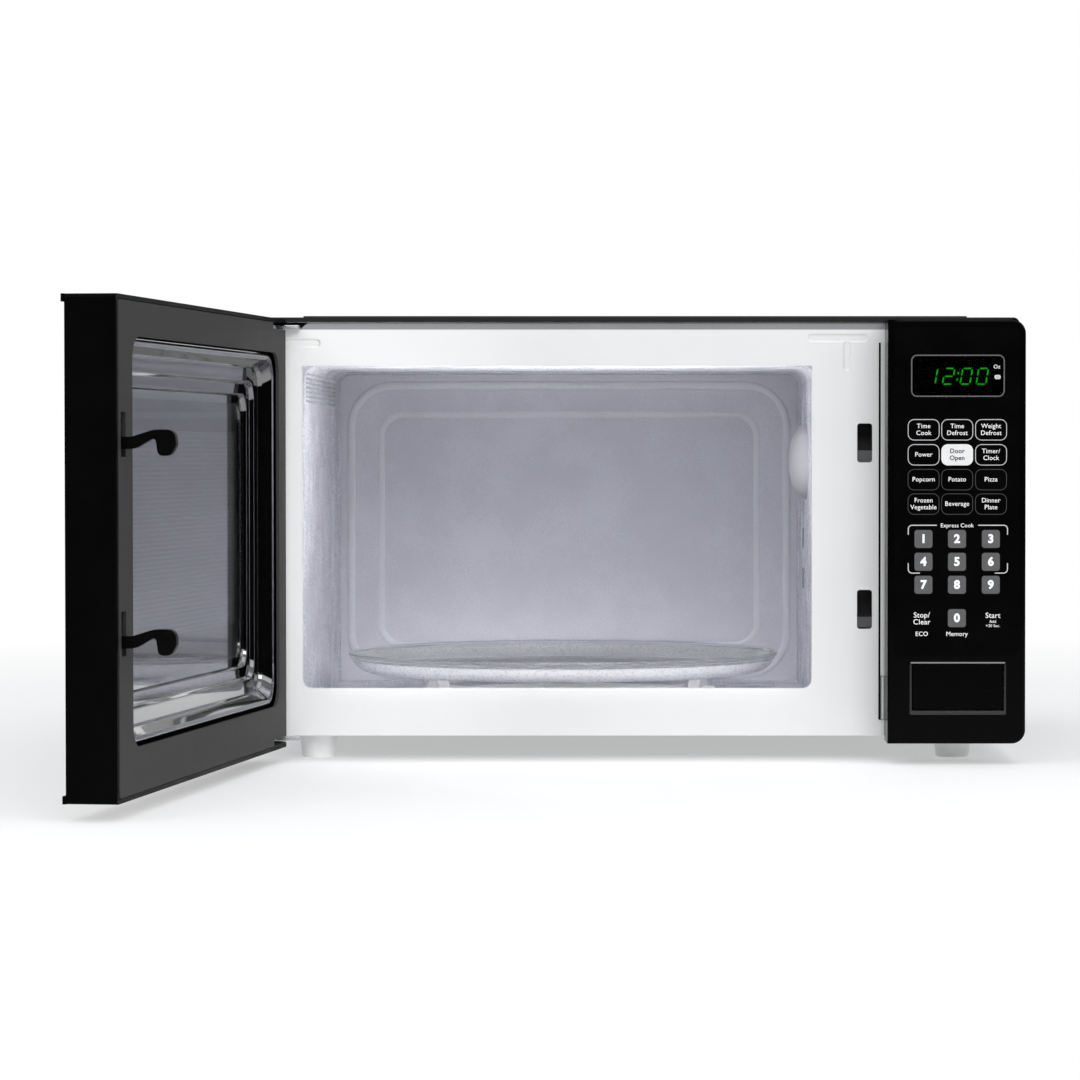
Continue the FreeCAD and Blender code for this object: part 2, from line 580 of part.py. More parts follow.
def hinge_room(name):
    """The space that the two hinge plates need inside the door, and the rounded hinge edge."""
    y = (f"{PIN_Y} - 8", f"{DOOR_IN} + 1")
    pockets = [box(f"{name}_pocket_{n}", ("door_x - 1", "pin_x + 31"), y,
                   (f"{z} - 0.8", f"{z} + plate_t + 0.8"))
               for n, z in enumerate(("plate_top_z", "plate_low_z"))]
    corner = box(f"{name}_corner", ("door_x - 1", "door_x + edge_rad"),
                 (f"{DOOR_IN} - edge_rad", f"{DOOR_IN} + 1"), ("door_z - 1", "door_z + door_hgt + 1"))
    round_bar = rod(f"{name}_bar", "Z", ("door_x + edge_rad", f"{DOOR_IN} - edge_rad"),
                    ("door_z - 2", "door_z + door_hgt + 2"), "edge_rad")
    return [*pockets, cut(f"{name}_edge", corner, round_bar)]


def hook_slots(name):
    return [box(f"{name}_slot_{n}", ("slot_x", "slot_x + slot_w"), (f"{DOOR_IN} - 8", f"{DOOR_IN} + 1"),
                (f"{z} + 4", f"{z} + slot_hgt + 3"))
            for n, z in enumerate(("slot_low", "slot_high"))]


def make_door():
    outline = ("door_x", "door_z", "door_w", "door_hgt", 2)
    well = ("door_x + door_wall", "door_z + door_wall", "door_w - 2 * door_wall",
            "door_hgt - 2 * door_wall", 1.5)
    window = ("door_x + pane_edge", "door_z + pane_edge", "door_w - 2 * pane_edge",
              "door_hgt - 2 * pane_edge", 3)
    skirt = upright_plate("door_skirt", DOOR_OUT, "door_t - 0.5", outline, well)
    bezel = upright_plate("door_bezel", DOOR_OUT, "pane_t", outline, window)
    trims = [box(f"door_trim_{n}", ("door_x", "door_x + door_w"), (f"{DOOR_OUT} - trim_proud", DOOR_OUT),
                 (z, f"{z} + trim_hgt"))
             for n, z in enumerate(("door_z", "door_z + door_hgt - trim_hgt"))]
    door_node("door_shell", cut("shell_cut", fuse("shell_fuse", skirt, bezel, *trims),
                                *hinge_room("shell")))
    pane = upright_plate("pane_body", DOOR_OUT, "pane_t",
                         ("door_x + pane_edge + 0.2", "door_z + pane_edge + 0.2",
                          "door_w - 2 * pane_edge - 0.4", "door_hgt - 2 * pane_edge - 0.4", 2.8))
    door_node("door_window_pane", pane)

    plane = f"({DOOR_IN} - cover_t - 1.5)"
    dish = ("win_x + 4", "win_z + 4", "win_w - 8", "win_hgt - 8", "win_rad - 4")
    dish_in = ("win_x + 5", "win_z + 5", "win_w - 10", "win_hgt - 10", "win_rad - 5")
    flange = upright_plate("steel_flange", plane, "sheet",
                           ("door_x + 5", "door_z + 5", "door_w - 10", "door_hgt - 10", 3), dish_in)
    wall = upright_plate("steel_wall", f"{plane} - dish_d", "dish_d + sheet", dish, dish_in)
    door_node("door_steel_frame", cut("steel_cut", fuse("steel_fuse", flange, wall),
                                      *hinge_room("steel"), *hook_slots("steel")))
    screen = upright_plate("screen_body", f"{plane} - dish_d", 0.7, dish_in)
    door_node("door_mesh_screen", screen)
    film = upright_plate("film_body", f"{plane} - dish_d + 5", 0.4, dish_in)
    door_node("door_inner_film", film)

    rim = ("door_x + door_wall + 0.5", "door_z + door_wall + 0.5", "door_w - 2 * door_wall - 1",
           "door_hgt - 2 * door_wall - 1", 3)
    opening = ("win_x", "win_z", "win_w", "win_hgt", "win_rad")
    cover = upright_plate("cover_plate", f"{DOOR_IN} - cover_t", "cover_t", rim, opening)
    door_node("door_choke_cover", cut("cover_cut", cover, *hinge_room("cover"), *hook_slots("cover")))

    blocks = []
    for n, (plate_z, up) in enumerate((("plate_top_z", -1), ("plate_low_z", 1))):
        near = f"({plate_z} - 1)" if up < 0 else f"({plate_z} + plate_t + 1)"
        far = f"({near} + {up} * 10)"
        block = box(f"pin_block_{n}", ("pin_x - 6", "pin_x + 9"), (f"{PIN_Y} - 7", f"{PIN_Y} + 5"),
                    tuple(sorted((near, far), key=worth)))
        tip = f"({plate_z} + plate_t + 0.6)" if up < 0 else f"({plate_z} - 0.6)"
        pin = rod(f"pin_{n}", "Z", ("pin_x", PIN_Y), tuple(sorted((near, tip), key=worth)), "pin_rad")
        blocks.append(fuse(f"pin_fuse_{n}", block, pin))
    door_node("hinge_pins", group("pin_group", blocks))


# One latch hook from its side: distance out from the door's inner face, height over the nose, and
# the corner's radius. The arm rises to a hump, and a heavy nose drops at its tip.
HOOK_OUTLINE = ((-9, 3.5, 0.3), (7, 3.5, 10), (18.8, 10.2, 1.8), (20.2, -0.3, 3.2), (27.5, -0.3, 4),
                (30.6, 5.5, 4), (30, 14.3, 5), (18, 14.3, 12), (5, 10.3, 10), (-9, 10.3, 0.3))


# The bell crank's upright finger: distance back and height from its pivot.
FINGER_OUTLINE = ((-4, -4), (19, -3), (19, 14), (13, 14), (12, 3), (-4, 4))


def hook_points(base_z):
    return [(f"{DOOR_IN} + {out}", f"{base_z} + {up}", radius) for out, up, radius in HOOK_OUTLINE]


def make_latch():
    x = ("arm_x", "arm_x + arm_w")
    bar = box("hook_bar", x, (f"{DOOR_IN} - 16", f"{DOOR_IN} - 9"), ("slot_low - 14", "slot_high + 26"))
    arms = [side_profile(f"hook_arm_{n}", *x, hook_points(f"({z} + 5)"))
            for n, z in enumerate(("slot_low", "slot_high"))]
    door_node("latch_hooks", fuse("hook_fuse", bar, *arms))
    foot = (worth("arm_x + arm_w / 2"), worth(f"{DOOR_IN} - 12.5"), worth("slot_low - 38"))
    door_node("latch_spring", coil("latch_coil", foot, "Z", 24, 2.85, 1, 6))

    block = box("latch_block", ("slot_x - 6.5", "slot_x + slot_w + 5.5"),
                (f"{FACE} + sheet", f"{FACE} + 38"), ("slot_low + 1", "slot_high + slot_hgt + 5"))
    rooms = []
    for n, z in enumerate(("slot_low", "slot_high")):
        span = ("slot_x - 1", "slot_x + slot_w + 1")
        rooms.append(box(f"hook_room_{n}", span, (FACE, f"{FACE} + 35"),
                         (f"{z} + 8", f"{z} + slot_hgt + 2")))
        rooms.append(box(f"nose_room_{n}", span, (f"{FACE} + 16", f"{FACE} + 35"),
                         (f"{z} - 1", f"{z} + 9")))
    waist = box("latch_waist", ("slot_x - 2", "slot_x + slot_w + 10"),
                (f"{FACE} + 8", f"{FACE} + 40"), ("slot_low + slot_hgt + 10", "slot_high - 12"))
    node("latch_body", cut("latch_cut", block, *rooms, waist))

    cases = []
    for n, z in enumerate(("slot_low + 6", "slot_low + 62", "slot_high + 6")):
        cases.append(box(f"switch_{n}", ("slot_x - 5", "slot_x + 5.5"), (f"{FACE} + 38.2", f"{FACE} + 54"),
                         (z, f"{z} + 28")))
    node("interlock_switches", group("switch_group", cases))

    pivot_y, pivot_z = f"({FACE} + 10)", "(slot_low - 9.9)"
    x_arm = ("slot_x + 2.3", "slot_x + 7.3")
    finger = side_profile("lever_finger", *x_arm,
                          [(f"{pivot_y} + {out}", f"{pivot_z} + {up}", 0.8) for out, up in FINGER_OUTLINE])
    shaft = rod("lever_shaft", "X", (pivot_y, pivot_z), ("slot_x + 2.3", "key_x + 7"), 2.5)
    paddle = box("lever_paddle", ("key_x + 1", "key_x + 7"), (f"{pivot_y} - 3", f"{pivot_y} + 3"),
                 (f"{pivot_z} - 22", pivot_z))
    node("release_lever", fuse("lever_fuse", finger, shaft, paddle))


def make_hinge_plates():
    """Two flat plates welded to the frame, one on its top step and one under it, each with an eye."""
    for label, z in (("hinge_plate_upper", "plate_top_z"), ("hinge_plate_lower", "plate_low_z")):
        span = (z, f"{z} + plate_t")
        tongue = box(f"{label}_tongue", ("pin_x - 6", "pin_x + 22"),
                     (f"{PIN_Y} + 3", f"{FACE} + step_back"), span)
        eye = rod(f"{label}_eye", "Z", ("pin_x", PIN_Y), span, 7)
        bore = rod(f"{label}_bore", "Z", ("pin_x", PIN_Y), (f"{z} - 1", f"{z} + plate_t + 1"),
                   "pin_rad + pin_fit")
        node(label, cut(f"{label}_cut", fuse(f"{label}_fuse", tongue, eye), bore))


# --- control panel --------------------------------------------------------------------------------

def make_panel():
    front = PANEL_FACE
    whole = ("panel_x", "panel_z", "panel_w", "panel_hgt", "panel_rad")
    shell = upright_plate("panel_blank", front, "panel_d", whole)
    DOC.recompute()
    pad = shell.Tip
    bevel = shell.newObject("PartDesign::Chamfer", "panel_edge")
    face = min(range(len(pad.Shape.Faces)), key=lambda n: pad.Shape.Faces[n].CenterOfMass.y)
    bevel.Base = (pad, [f"Face{face + 1}"])
    bind(bevel, "Size", "panel_bevel")
    square = box("panel_square", ("panel_x", "panel_x + panel_w / 2"), (f"{front} + panel_bevel", FACE),
                 ("panel_z", "panel_z + panel_hgt"))
    face_patch = box("panel_patch", ("panel_x + panel_bevel", "panel_x + panel_w / 2"),
                     (front, f"{front} + panel_bevel"),
                     ("panel_z + panel_bevel", "panel_z + panel_hgt - panel_bevel"))
    hollow = box("panel_hollow", ("panel_x + panel_wall", "panel_x + panel_w - panel_wall"),
                 (f"{front} + panel_wall", f"{FACE} + 1"),
                 ("panel_z + panel_wall", "panel_z + panel_hgt - panel_wall"))
    lens_hole = box("lens_hole", ("lens_x", "lens_x + lens_w"), (f"{front} - 1", f"{front} + 5"),
                    ("lens_z", "lens_z + lens_hgt"))
    key_hole = box("key_hole", ("key_x - key_gap", "key_x + key_w + key_gap"),
                   (f"{front} - 1", f"{front} + 5"), ("key_z - key_gap", "key_z + key_hgt + key_gap"))
    node("panel_housing", cut("panel_cut", fuse("panel_fuse", shell, square, face_patch), hollow,
                              lens_hole, key_hole))
    overlay = upright_plate("overlay_body", f"{front} - 0.4", 0.4,
                            ("panel_x + 4", "key_z + key_hgt + 6", "panel_w - 8",
                             "panel_z + panel_hgt - 5 - key_z - key_hgt - 6", 4),
                            ("lens_x", "lens_z", "lens_w", "lens_hgt", 0.5))
    node("keypad_overlay", overlay)
    node("display_window", box("lens_block", ("lens_x + 0.2", "lens_x + lens_w - 0.2"),
                               (f"{front} - 0.2", f"{front} + 2"),
                               ("lens_z + 0.2", "lens_z + lens_hgt - 0.2")))
    board_y = f"({front} + 14)"
    node("led_display", box("led_block", ("lens_x + 6", "lens_x + lens_w - 6"), (f"{front} + 4", board_y),
                            ("lens_z + 3", "lens_z + lens_hgt - 3")))
    board = box("board_sheet", ("panel_x + 7", "panel_x + panel_w - 7"), (board_y, f"{board_y} + board_t"),
                ("key_z + key_hgt + 16", "panel_z + panel_hgt - 8"))
    chips = [box(f"board_part_{n}", (x, f"{x} + {w}"),
                 (f"{board_y} + board_t", f"{board_y} + board_t + {d}"), (z, f"{z} + {hgt}"))
             for n, (x, z, w, hgt, d) in enumerate(BOARD_PARTS)]
    node("control_board", fuse("board_fuse", board, *chips))


# The parts on the control board's back: X, Z, width, height and depth.
BOARD_PARTS = ((178, 96, 34, 28, 17), (218, 100, 18, 15, 14), (218, 122, 18, 15, 14),
               (182, 140, 12, 40, 4), (210, 150, 22, 22, 9), (186, 200, 28, 8, 3))


def make_release_button():
    front = f"({PANEL_FACE} + 0.4)"
    cap = box("button_cap", ("key_x", "key_x + key_w"), (front, f"{front} + 9"),
              ("key_z", "key_z + key_hgt"))
    hollow = box("button_hollow", ("key_x + 2", "key_x + key_w - 2"),
                 (f"{front} + 2.4", f"{front} + 10"), ("key_z + 2", "key_z + key_hgt - 2"))
    push = box("button_push", ("key_x + 2", "key_x + 6"), (f"{front} + 2.4", f"{FACE} + 5.5"),
               ("key_z + key_hgt - 8", "key_z + key_hgt - 4"))
    stud = rod("button_stud", "Y", ("key_x + 40", "key_z + 15"), (f"{front} + 2.4", f"{front} + 12"), 2.5)
    node("release_button", fuse("button_fuse", cut("button_cut", cap, hollow), push, stud))
    foot = (worth("key_x + 40"), worth(f"{front} + 3"), worth("key_z + 15"))
    node("button_spring", coil("button_coil", foot, "Y", 26, 4, 0.8, 7))
    wall = box("bracket_wall", ("key_x + 12", "key_x + key_w + 3"), (f"{front} + 29.4", f"{front} + 31"),
               ("key_z - 12", "key_z + key_hgt + 4"))
    foot_tab = box("bracket_tab", ("key_x + 12", "key_x + key_w + 3"), (f"{front} + 8", f"{front} + 31"),
                   ("key_z - 13.6", "key_z - 12"))
    node("button_bracket", fuse("bracket_fuse", wall, foot_tab))


# --- works ----------------------------------------------------------------------------------------

def make_magnetron():
    start = f"({BAY_WALL} + guide_out)"
    frame = box("yoke_outer", (f"{start} + 0.2", f"{start} + 68"), ("mag_y - 40", "mag_y + 40"),
                ("mag_z - 40", "mag_z + 40"))
    gap = box("yoke_gap", (f"{start} + 3", f"{start} + 65"), ("mag_y - 41", "mag_y + 41"),
              ("mag_z - 37", "mag_z + 37"))
    hole = rod("yoke_hole", "X", MAG_AXIS, (f"{start} - 1", f"{start} + 4"), 10)
    node("magnetron_yoke", cut("yoke_cut", frame, gap, hole))
    anode = rod("anode", "X", MAG_AXIS, (f"{start} + 16", f"{start} + 52"), 19)
    fins = [box(f"fin_{n}", (f"{start} + {18 + 6 * n}", f"{start} + {19 + 6 * n}"),
                ("mag_y - 38", "mag_y + 38"), ("mag_z - 36", "mag_z + 36"))
            for n in range(6)]
    antenna = rod("antenna", "X", MAG_AXIS, (f"{start} - 22", f"{start} + 16"), 8)
    node("magnetron_anode", fuse("anode_fuse", anode, antenna, *fins))
    magnets = []
    for n, x in enumerate((3.2, 53)):
        near = f"({start} + {x})"
        ring = rod(f"magnet_ring_{n}", "X", MAG_AXIS, (near, f"{near} + 11.8"), 27)
        eye = rod(f"magnet_eye_{n}", "X", MAG_AXIS, (f"{near} - 1", f"{near} + 13"), 11)
        magnets.append(cut(f"magnet_{n}", ring, eye))
    node("magnetron_magnets", group("magnet_group", magnets))
    node("magnetron_filter_box", box("filter_box", (f"{start} + 8", f"{start} + 60"),
                                     ("mag_y - 14", "mag_y + 14"), ("mag_z + 40.2", "mag_z + 62")))


def make_power_parts():
    low = "foot_rise + 2 * sheet"
    core = box("core_block", ("core_x", "core_x + core_w"), ("-62", "14"), (low, "92"))
    windows = [box(f"core_window_{n}", (x, f"{x} + 15"), ("-63", "15"), ("38", "76"))
               for n, x in enumerate(("core_x + 17", "core_x + core_w - 32"))]
    node("transformer_core", cut("core_cut", core, *windows))
    coils = []
    for n, (z, hgt) in enumerate(((38.5, 17), (57.5, 18))):
        block = box(f"winding_block_{n}", (167.5, 228.5), (-76, 28), (z, z + hgt))
        leg = box(f"winding_leg_{n}", (181.8, 214.2), (-62.2, 14.2), (z - 1, z + hgt + 1))
        coils.append(cut(f"winding_{n}", block, leg))
    node("transformer_windings", group("winding_group", coils))
    at = ("can_x", "can_z")
    can = rod("capacitor_can", "Y", at, ("38", "112"), "can_rad")
    posts = [rod(f"capacitor_post_{n}", "Y", (f"can_x + {8 * sign}", "can_z"), ("112", "120"), 2.5)
             for n, sign in enumerate((-1, 1))]
    node("hv_capacitor", fuse("capacitor_fuse", can, *posts))
    band = rod("clamp_band", "Y", at, ("66", "84"), "can_rad + 1.2")
    band_bore = rod("clamp_bore", "Y", at, ("65", "85"), "can_rad")
    leg = box("clamp_leg", ("can_x - 6", "can_x + 6"), ("66", "84"), (low, "can_z - can_rad - 0.6"))
    node("capacitor_clamp", fuse("clamp_fuse", cut("clamp_cut", band, band_bore), leg))
    node("hv_diode", rod("diode", "Y", ("212", "40"), ("60", "92"), 4.5))
    board = box("filter_sheet", ("128", "158"), ("96", "186"), ("248", "249.6"))
    parts = [box(f"filter_part_{n}", ("131", "155"), (f"{100 + 28 * n}", f"{120 + 28 * n}"),
                 ("249.6", f"{262 + 4 * n}"))
             for n in range(3)]
    node("mains_filter_board", fuse("filter_fuse", board, *parts))
    discs = [rod("cutout_0", "X", ("60", "256"), (BAY_WALL, f"{BAY_WALL} + 9"), 8),
             rod("cutout_1", "Z", ("212", "36"), ("262.2", "271"), 8)]
    node("thermal_cutouts", group("cutout_group", discs))
    node("lamp_holder", box("holder", (BAY_WALL, f"{BAY_WALL} + 34"), ("lamp_y - 28", "lamp_y"),
                            ("lamp_z - 14", "lamp_z + 14")))
    bulb = part_item("bulb_ball", "Part::Sphere", Radius=11)
    for side, formula in zip("xyz", (f"{BAY_WALL} + 18", "lamp_y + 18", "lamp_z")):
        bind(bulb, f"Placement.Base.{side}", formula)
    neck = rod("bulb_neck", "Y", (f"{BAY_WALL} + 18", "lamp_z"), ("lamp_y", "lamp_y + 14"), 6)
    node("cavity_lamp", fuse("bulb_fuse", bulb, neck))


def make_fan():
    at = ("fan_x", "fan_z")
    plate = box("shroud_plate", ("fan_x - 60", "fan_x + 60"), ("fan_y + 14", "fan_y + 16"),
                ("fan_z - 64", "fan_z + 60"))
    plate_hole = rod("shroud_plate_hole", "Y", at, ("fan_y + 13", "fan_y + 17"), "fan_rad + 3")
    barrel = rod("shroud_barrel", "Y", at, ("fan_y - 8", "fan_y + 14"), "fan_rad + 5")
    throat = rod("shroud_throat", "Y", at, ("fan_y - 9", "fan_y + 15"), "fan_rad + 3")
    arms = box("shroud_arms", ("fan_x - 58", "fan_x + 58"), ("fan_y + 16", "fan_y + 19"),
               ("fan_z - 5", "fan_z + 5"))
    arm_hole = rod("shroud_arm_hole", "Y", at, ("fan_y + 15", "fan_y + 20"), 5)
    node("fan_shroud", group("shroud_group", (cut("shroud_sheet", plate, plate_hole),
                                              cut("shroud_ring", barrel, throat),
                                              cut("shroud_arm_cut", arms, arm_hole))))
    node("fan_motor", box("fan_motor_block", ("fan_x - 24", "fan_x + 24"), ("fan_y + 19.2", "fan_y + 44"),
                          ("fan_z - 20", "fan_z + 30")))
    hub = rod("fan_hub", "Y", at, ("fan_y - 6", "fan_y + 10"), 11)
    shaft = rod("fan_shaft", "Y", at, ("fan_y + 10", "fan_y + 19"), 2)
    blades = []
    centre = FreeCAD.Vector(size("fan_x"), size("fan_y") + 2, size("fan_z"))
    for n in range(7):
        spin = FreeCAD.Rotation(FreeCAD.Vector(0, 1, 0), 360 / 7 * n)
        pitch = FreeCAD.Rotation(FreeCAD.Vector(0, 0, 1), 28)
        blade = DOC.addObject("Part::Box", f"fan_blade_{n}")
        blade.Length, blade.Width = 24, 1.4
        bind(blade, "Height", "fan_rad - 9.5")
        turn = spin.multiply(pitch)
        corner = spin.multVec(pitch.multVec(FreeCAD.Vector(-12, -0.7, 0)) + FreeCAD.Vector(0, 0, 9))
        blade.Placement = FreeCAD.Placement(centre + corner, turn)
        blades.append(blade)
    node("fan_blade", fuse("fan_fuse", hub, shaft, *blades))


def make_screws():
    rear = [(x, z, BACK) for x in ("-244", "244") for z in ("40", "160", "284")]
    node("casing_screws", screws("casing_screw", "Y", rear, 1.6, 6, 3.6, 1.6, 1))


def check_and_write():
    DOC.recompute()
    for item in DOC.Objects:
        bad = [word for word in item.State if word in ("Invalid", "Error")]
        if bad:
            raise RuntimeError(f"{item.Name} is {bad}")
    os.makedirs("parts", exist_ok=True)
    for name, item in NODES.items():
        shape = item.Shape
        if shape.isNull() or not shape.isValid() or not shape.Solids:
            raise RuntimeError(f"{name} has no valid solid")
        shape.exportStep(f"parts/{name}.step")
        print(f"{name}: {len(shape.Solids)} solid(s), {shape.Volume:.0f} mm3")
    print(f"{len(NODES)} nodes")


fill_sheet()
make_outer_wrapper()
make_base_plate()
make_feet()
make_rear_panel()
make_front_frame()
make_cavity()
make_waveguide()
make_turntable()
make_roller_ring()
make_door()
make_latch()
make_hinge_plates()
make_panel()
make_release_button()
make_magnetron()
make_power_parts()
make_fan()
make_screws()
check_and_write()
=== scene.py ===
import json
import math

import bmesh
import bpy
from mathutils import Matrix, Vector, noise

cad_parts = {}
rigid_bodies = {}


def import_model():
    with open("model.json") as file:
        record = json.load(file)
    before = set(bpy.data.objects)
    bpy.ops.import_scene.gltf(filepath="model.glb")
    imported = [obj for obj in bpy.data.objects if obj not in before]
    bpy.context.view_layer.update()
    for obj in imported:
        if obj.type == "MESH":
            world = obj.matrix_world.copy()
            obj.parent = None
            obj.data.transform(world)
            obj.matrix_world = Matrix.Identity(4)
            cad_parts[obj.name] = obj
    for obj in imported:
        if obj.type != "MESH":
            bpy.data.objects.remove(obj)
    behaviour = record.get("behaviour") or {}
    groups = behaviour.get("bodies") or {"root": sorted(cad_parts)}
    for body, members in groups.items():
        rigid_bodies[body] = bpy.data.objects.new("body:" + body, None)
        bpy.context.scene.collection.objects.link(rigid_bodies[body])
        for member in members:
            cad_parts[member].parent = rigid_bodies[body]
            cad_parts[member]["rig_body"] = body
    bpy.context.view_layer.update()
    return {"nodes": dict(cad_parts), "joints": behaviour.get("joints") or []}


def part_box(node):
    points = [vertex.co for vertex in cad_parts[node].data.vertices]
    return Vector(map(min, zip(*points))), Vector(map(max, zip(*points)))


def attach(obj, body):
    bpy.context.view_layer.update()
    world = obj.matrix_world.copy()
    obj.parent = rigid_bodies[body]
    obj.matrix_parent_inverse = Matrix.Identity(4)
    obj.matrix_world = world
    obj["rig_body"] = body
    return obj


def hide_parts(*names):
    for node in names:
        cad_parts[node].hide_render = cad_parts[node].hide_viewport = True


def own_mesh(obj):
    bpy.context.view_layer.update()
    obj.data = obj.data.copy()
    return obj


# A countertop microwave oven with its door open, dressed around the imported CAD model. Blender works in
# metres and the front faces -Y; sizes below are in millimetres unless a comment says otherwise.

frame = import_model()
NODES = frame["nodes"]
MM = 0.001


# --- places read from the frame -------------------------------------------------------------------

def node_box(name):
    """A node's lowest and highest corners in millimetres."""
    low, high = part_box(name)
    return low / MM, high / MM


def joint(name):
    """The frame's entry for a joint."""
    return next(item for item in frame["joints"] if item["name"] == name)


FACE = node_box("front_frame")[0].y
PANEL_FACE = node_box("panel_housing")[0].y
FILM_FACE = node_box("keypad_overlay")[0].y
LENS_LOW, LENS_HIGH = node_box("display_window")
BUTTON_LOW, BUTTON_HIGH = node_box("release_button")
TRAY_LOW, TRAY_HIGH = node_box("glass_tray")
HINGE = joint("door_hinge")
HINGE_AT = Vector(HINGE["pos_m"])
OPENED = -math.radians(HINGE["range_deg"][1])
SWING = Matrix.Translation(HINGE_AT) @ Matrix.Rotation(OPENED, 4, "Z") @ Matrix.Translation(-HINGE_AT)


# --- camera and light -----------------------------------------------------------------------------

# The camera's eye, focal length, downward tilt in degrees, sideways shift, and clip distances in metres.
EYE = Vector((12.6, FACE - 2485, 204.8)) * MM
LENS = 124.5
PITCH = 1.33
SIDE_SHIFT = -0.1056
CLIP_NEAR, CLIP_FAR = 0.05, 200
# The room's light rises from nothing between these shares of straight up, and of straight back.
ROOM_LIGHT = 0.62
OVERHEAD = (0.05, 0.45)
BEHIND = (0.05, 0.4)
# Softboxes in metres: place, aim, width, height and watts.
SOFTBOXES = (
    ("softbox_top", (0.1, -0.7, 2.3), (0, 0, 0.1), 2.6, 1.8, 17),
    ("softbox_front", (0.55, -3.3, 1.6), (-0.05, 0, 0.15), 3.2, 1.3, 66),
    ("softbox_right", (2.4, -1.6, 1.1), (0, -0.1, 0.15), 1.2, 1.6, 9),
    ("softbox_left", (-2.0, -2.6, 1.5), (-0.1, -0.1, 0.15), 1.4, 1.2, 14),
)
# Hidden fills: place and aim in millimetres, with depths counted from the front frame's face; then
# width and height in metres, watts, and spread in degrees.
FILLS = (
    ("cavity_fill", (-50, 60, 262), (-50, 220, 120), 0.3, 0.06, 0.38, 180),
    ("ceiling_fill", (-50, 12, 56), (-50, 110, 264), 0.3, 0.012, 0.4, 75),
    ("sill_fill", (-50, -200, 72), (-50, 60, 60), 0.3, 0.01, 0.011, 14),
    ("frame_fill", (20, -300, 165), (-240, 0, 165), 0.05, 0.3, 0.07, 50),
)


def make_camera():
    data = bpy.data.cameras.new("camera")
    data.lens = LENS
    data.shift_x = SIDE_SHIFT
    data.clip_start, data.clip_end = CLIP_NEAR, CLIP_FAR
    camera = bpy.data.objects.new("camera", data)
    camera.location = EYE
    camera.rotation_euler = (math.radians(90 - PITCH), 0, 0)
    bpy.context.scene.collection.objects.link(camera)
    bpy.context.scene.camera = camera


def make_world():
    """White behind the oven for the eye; for light and gloss, a bright ceiling over a dark horizon."""
    world = bpy.data.worlds.new("studio")
    bpy.context.scene.world = world
    world.use_nodes = True
    tree = world.node_tree
    room = tree.nodes["Background"]
    room.inputs["Color"].default_value = (0.93, 0.96, 1.0, 1)
    split = tree.nodes.new("ShaderNodeSeparateXYZ")
    tree.links.new(tree.nodes.new("ShaderNodeTexCoord").outputs["Generated"], split.inputs[0])
    height = ranged(tree, split.outputs["Z"], 0, ROOM_LIGHT, *OVERHEAD)
    behind = ranged(tree, split.outputs["Y"], 0, ROOM_LIGHT, *BEHIND)
    either = tree.nodes.new("ShaderNodeMath")
    either.operation = "MAXIMUM"
    tree.links.new(height, either.inputs[0])
    tree.links.new(behind, either.inputs[1])
    tree.links.new(either.outputs[0], room.inputs["Strength"])
    page = tree.nodes.new("ShaderNodeBackground")
    page.inputs["Color"].default_value = (1, 1, 1, 1)
    page.inputs["Strength"].default_value = 1.0
    ray = tree.nodes.new("ShaderNodeLightPath")
    mix = tree.nodes.new("ShaderNodeMixShader")
    tree.links.new(ray.outputs["Is Camera Ray"], mix.inputs["Fac"])
    tree.links.new(room.outputs[0], mix.inputs[1])
    tree.links.new(page.outputs[0], mix.inputs[2])
    tree.links.new(mix.outputs[0], tree.nodes["World Output"].inputs["Surface"])
    bpy.context.scene.view_settings.view_transform = "Standard"


def make_lamp(name, place, aim, width, height, power, spread=180, hidden=False):
    """A rectangular softbox; a hidden one lights surfaces but is never seen in them."""
    data = bpy.data.lights.new(name, "AREA")
    data.shape = "RECTANGLE"
    data.size, data.size_y, data.energy = width, height, power
    data.spread = math.radians(spread)
    lamp = bpy.data.objects.new(name, data)
    lamp.location = place
    if hidden:
        lamp.visible_camera = lamp.visible_glossy = lamp.visible_transmission = False
    lamp.rotation_euler = (Vector(aim) - Vector(place)).to_track_quat("-Z", "Y").to_euler()
    bpy.context.scene.collection.objects.link(lamp)


def from_face(place):
    """A place in metres, from millimetres whose depth is counted from the front frame's face."""
    x, depth, z = place
    return Vector((x, FACE + depth, z)) * MM


def make_lights():
    for name, place, aim, width, height, watts in SOFTBOXES:
        make_lamp(name, place, aim, width, height, watts)
    for name, place, aim, width, height, watts, spread in FILLS:
        make_lamp(name, from_face(place), from_face(aim), width, height, watts, spread, hidden=True)


# --- materials ------------------------------------------------------------------------------------

def noise_node(tree, vector, scale, detail=2.0, rough=0.5, stretch=None):
    source = vector
    if stretch:
        mapping = tree.nodes.new("ShaderNodeMapping")
        mapping.inputs["Scale"].default_value = stretch
        tree.links.new(vector, mapping.inputs["Vector"])
        source = mapping.outputs[0]
    item = tree.nodes.new("ShaderNodeTexNoise")
    item.inputs["Scale"].default_value = scale
    item.inputs["Detail"].default_value = detail
    item.inputs["Roughness"].default_value = rough
    tree.links.new(source, item.inputs["Vector"])
    return item.outputs["Fac"]


def ranged(tree, value, low, high, start=0.3, end=0.7):
    item = tree.nodes.new("ShaderNodeMapRange")
    for socket, number in (("From Min", start), ("From Max", end), ("To Min", low), ("To Max", high)):
        item.inputs[socket].default_value = number
    tree.links.new(value, item.inputs["Value"])
    return item.outputs[0]


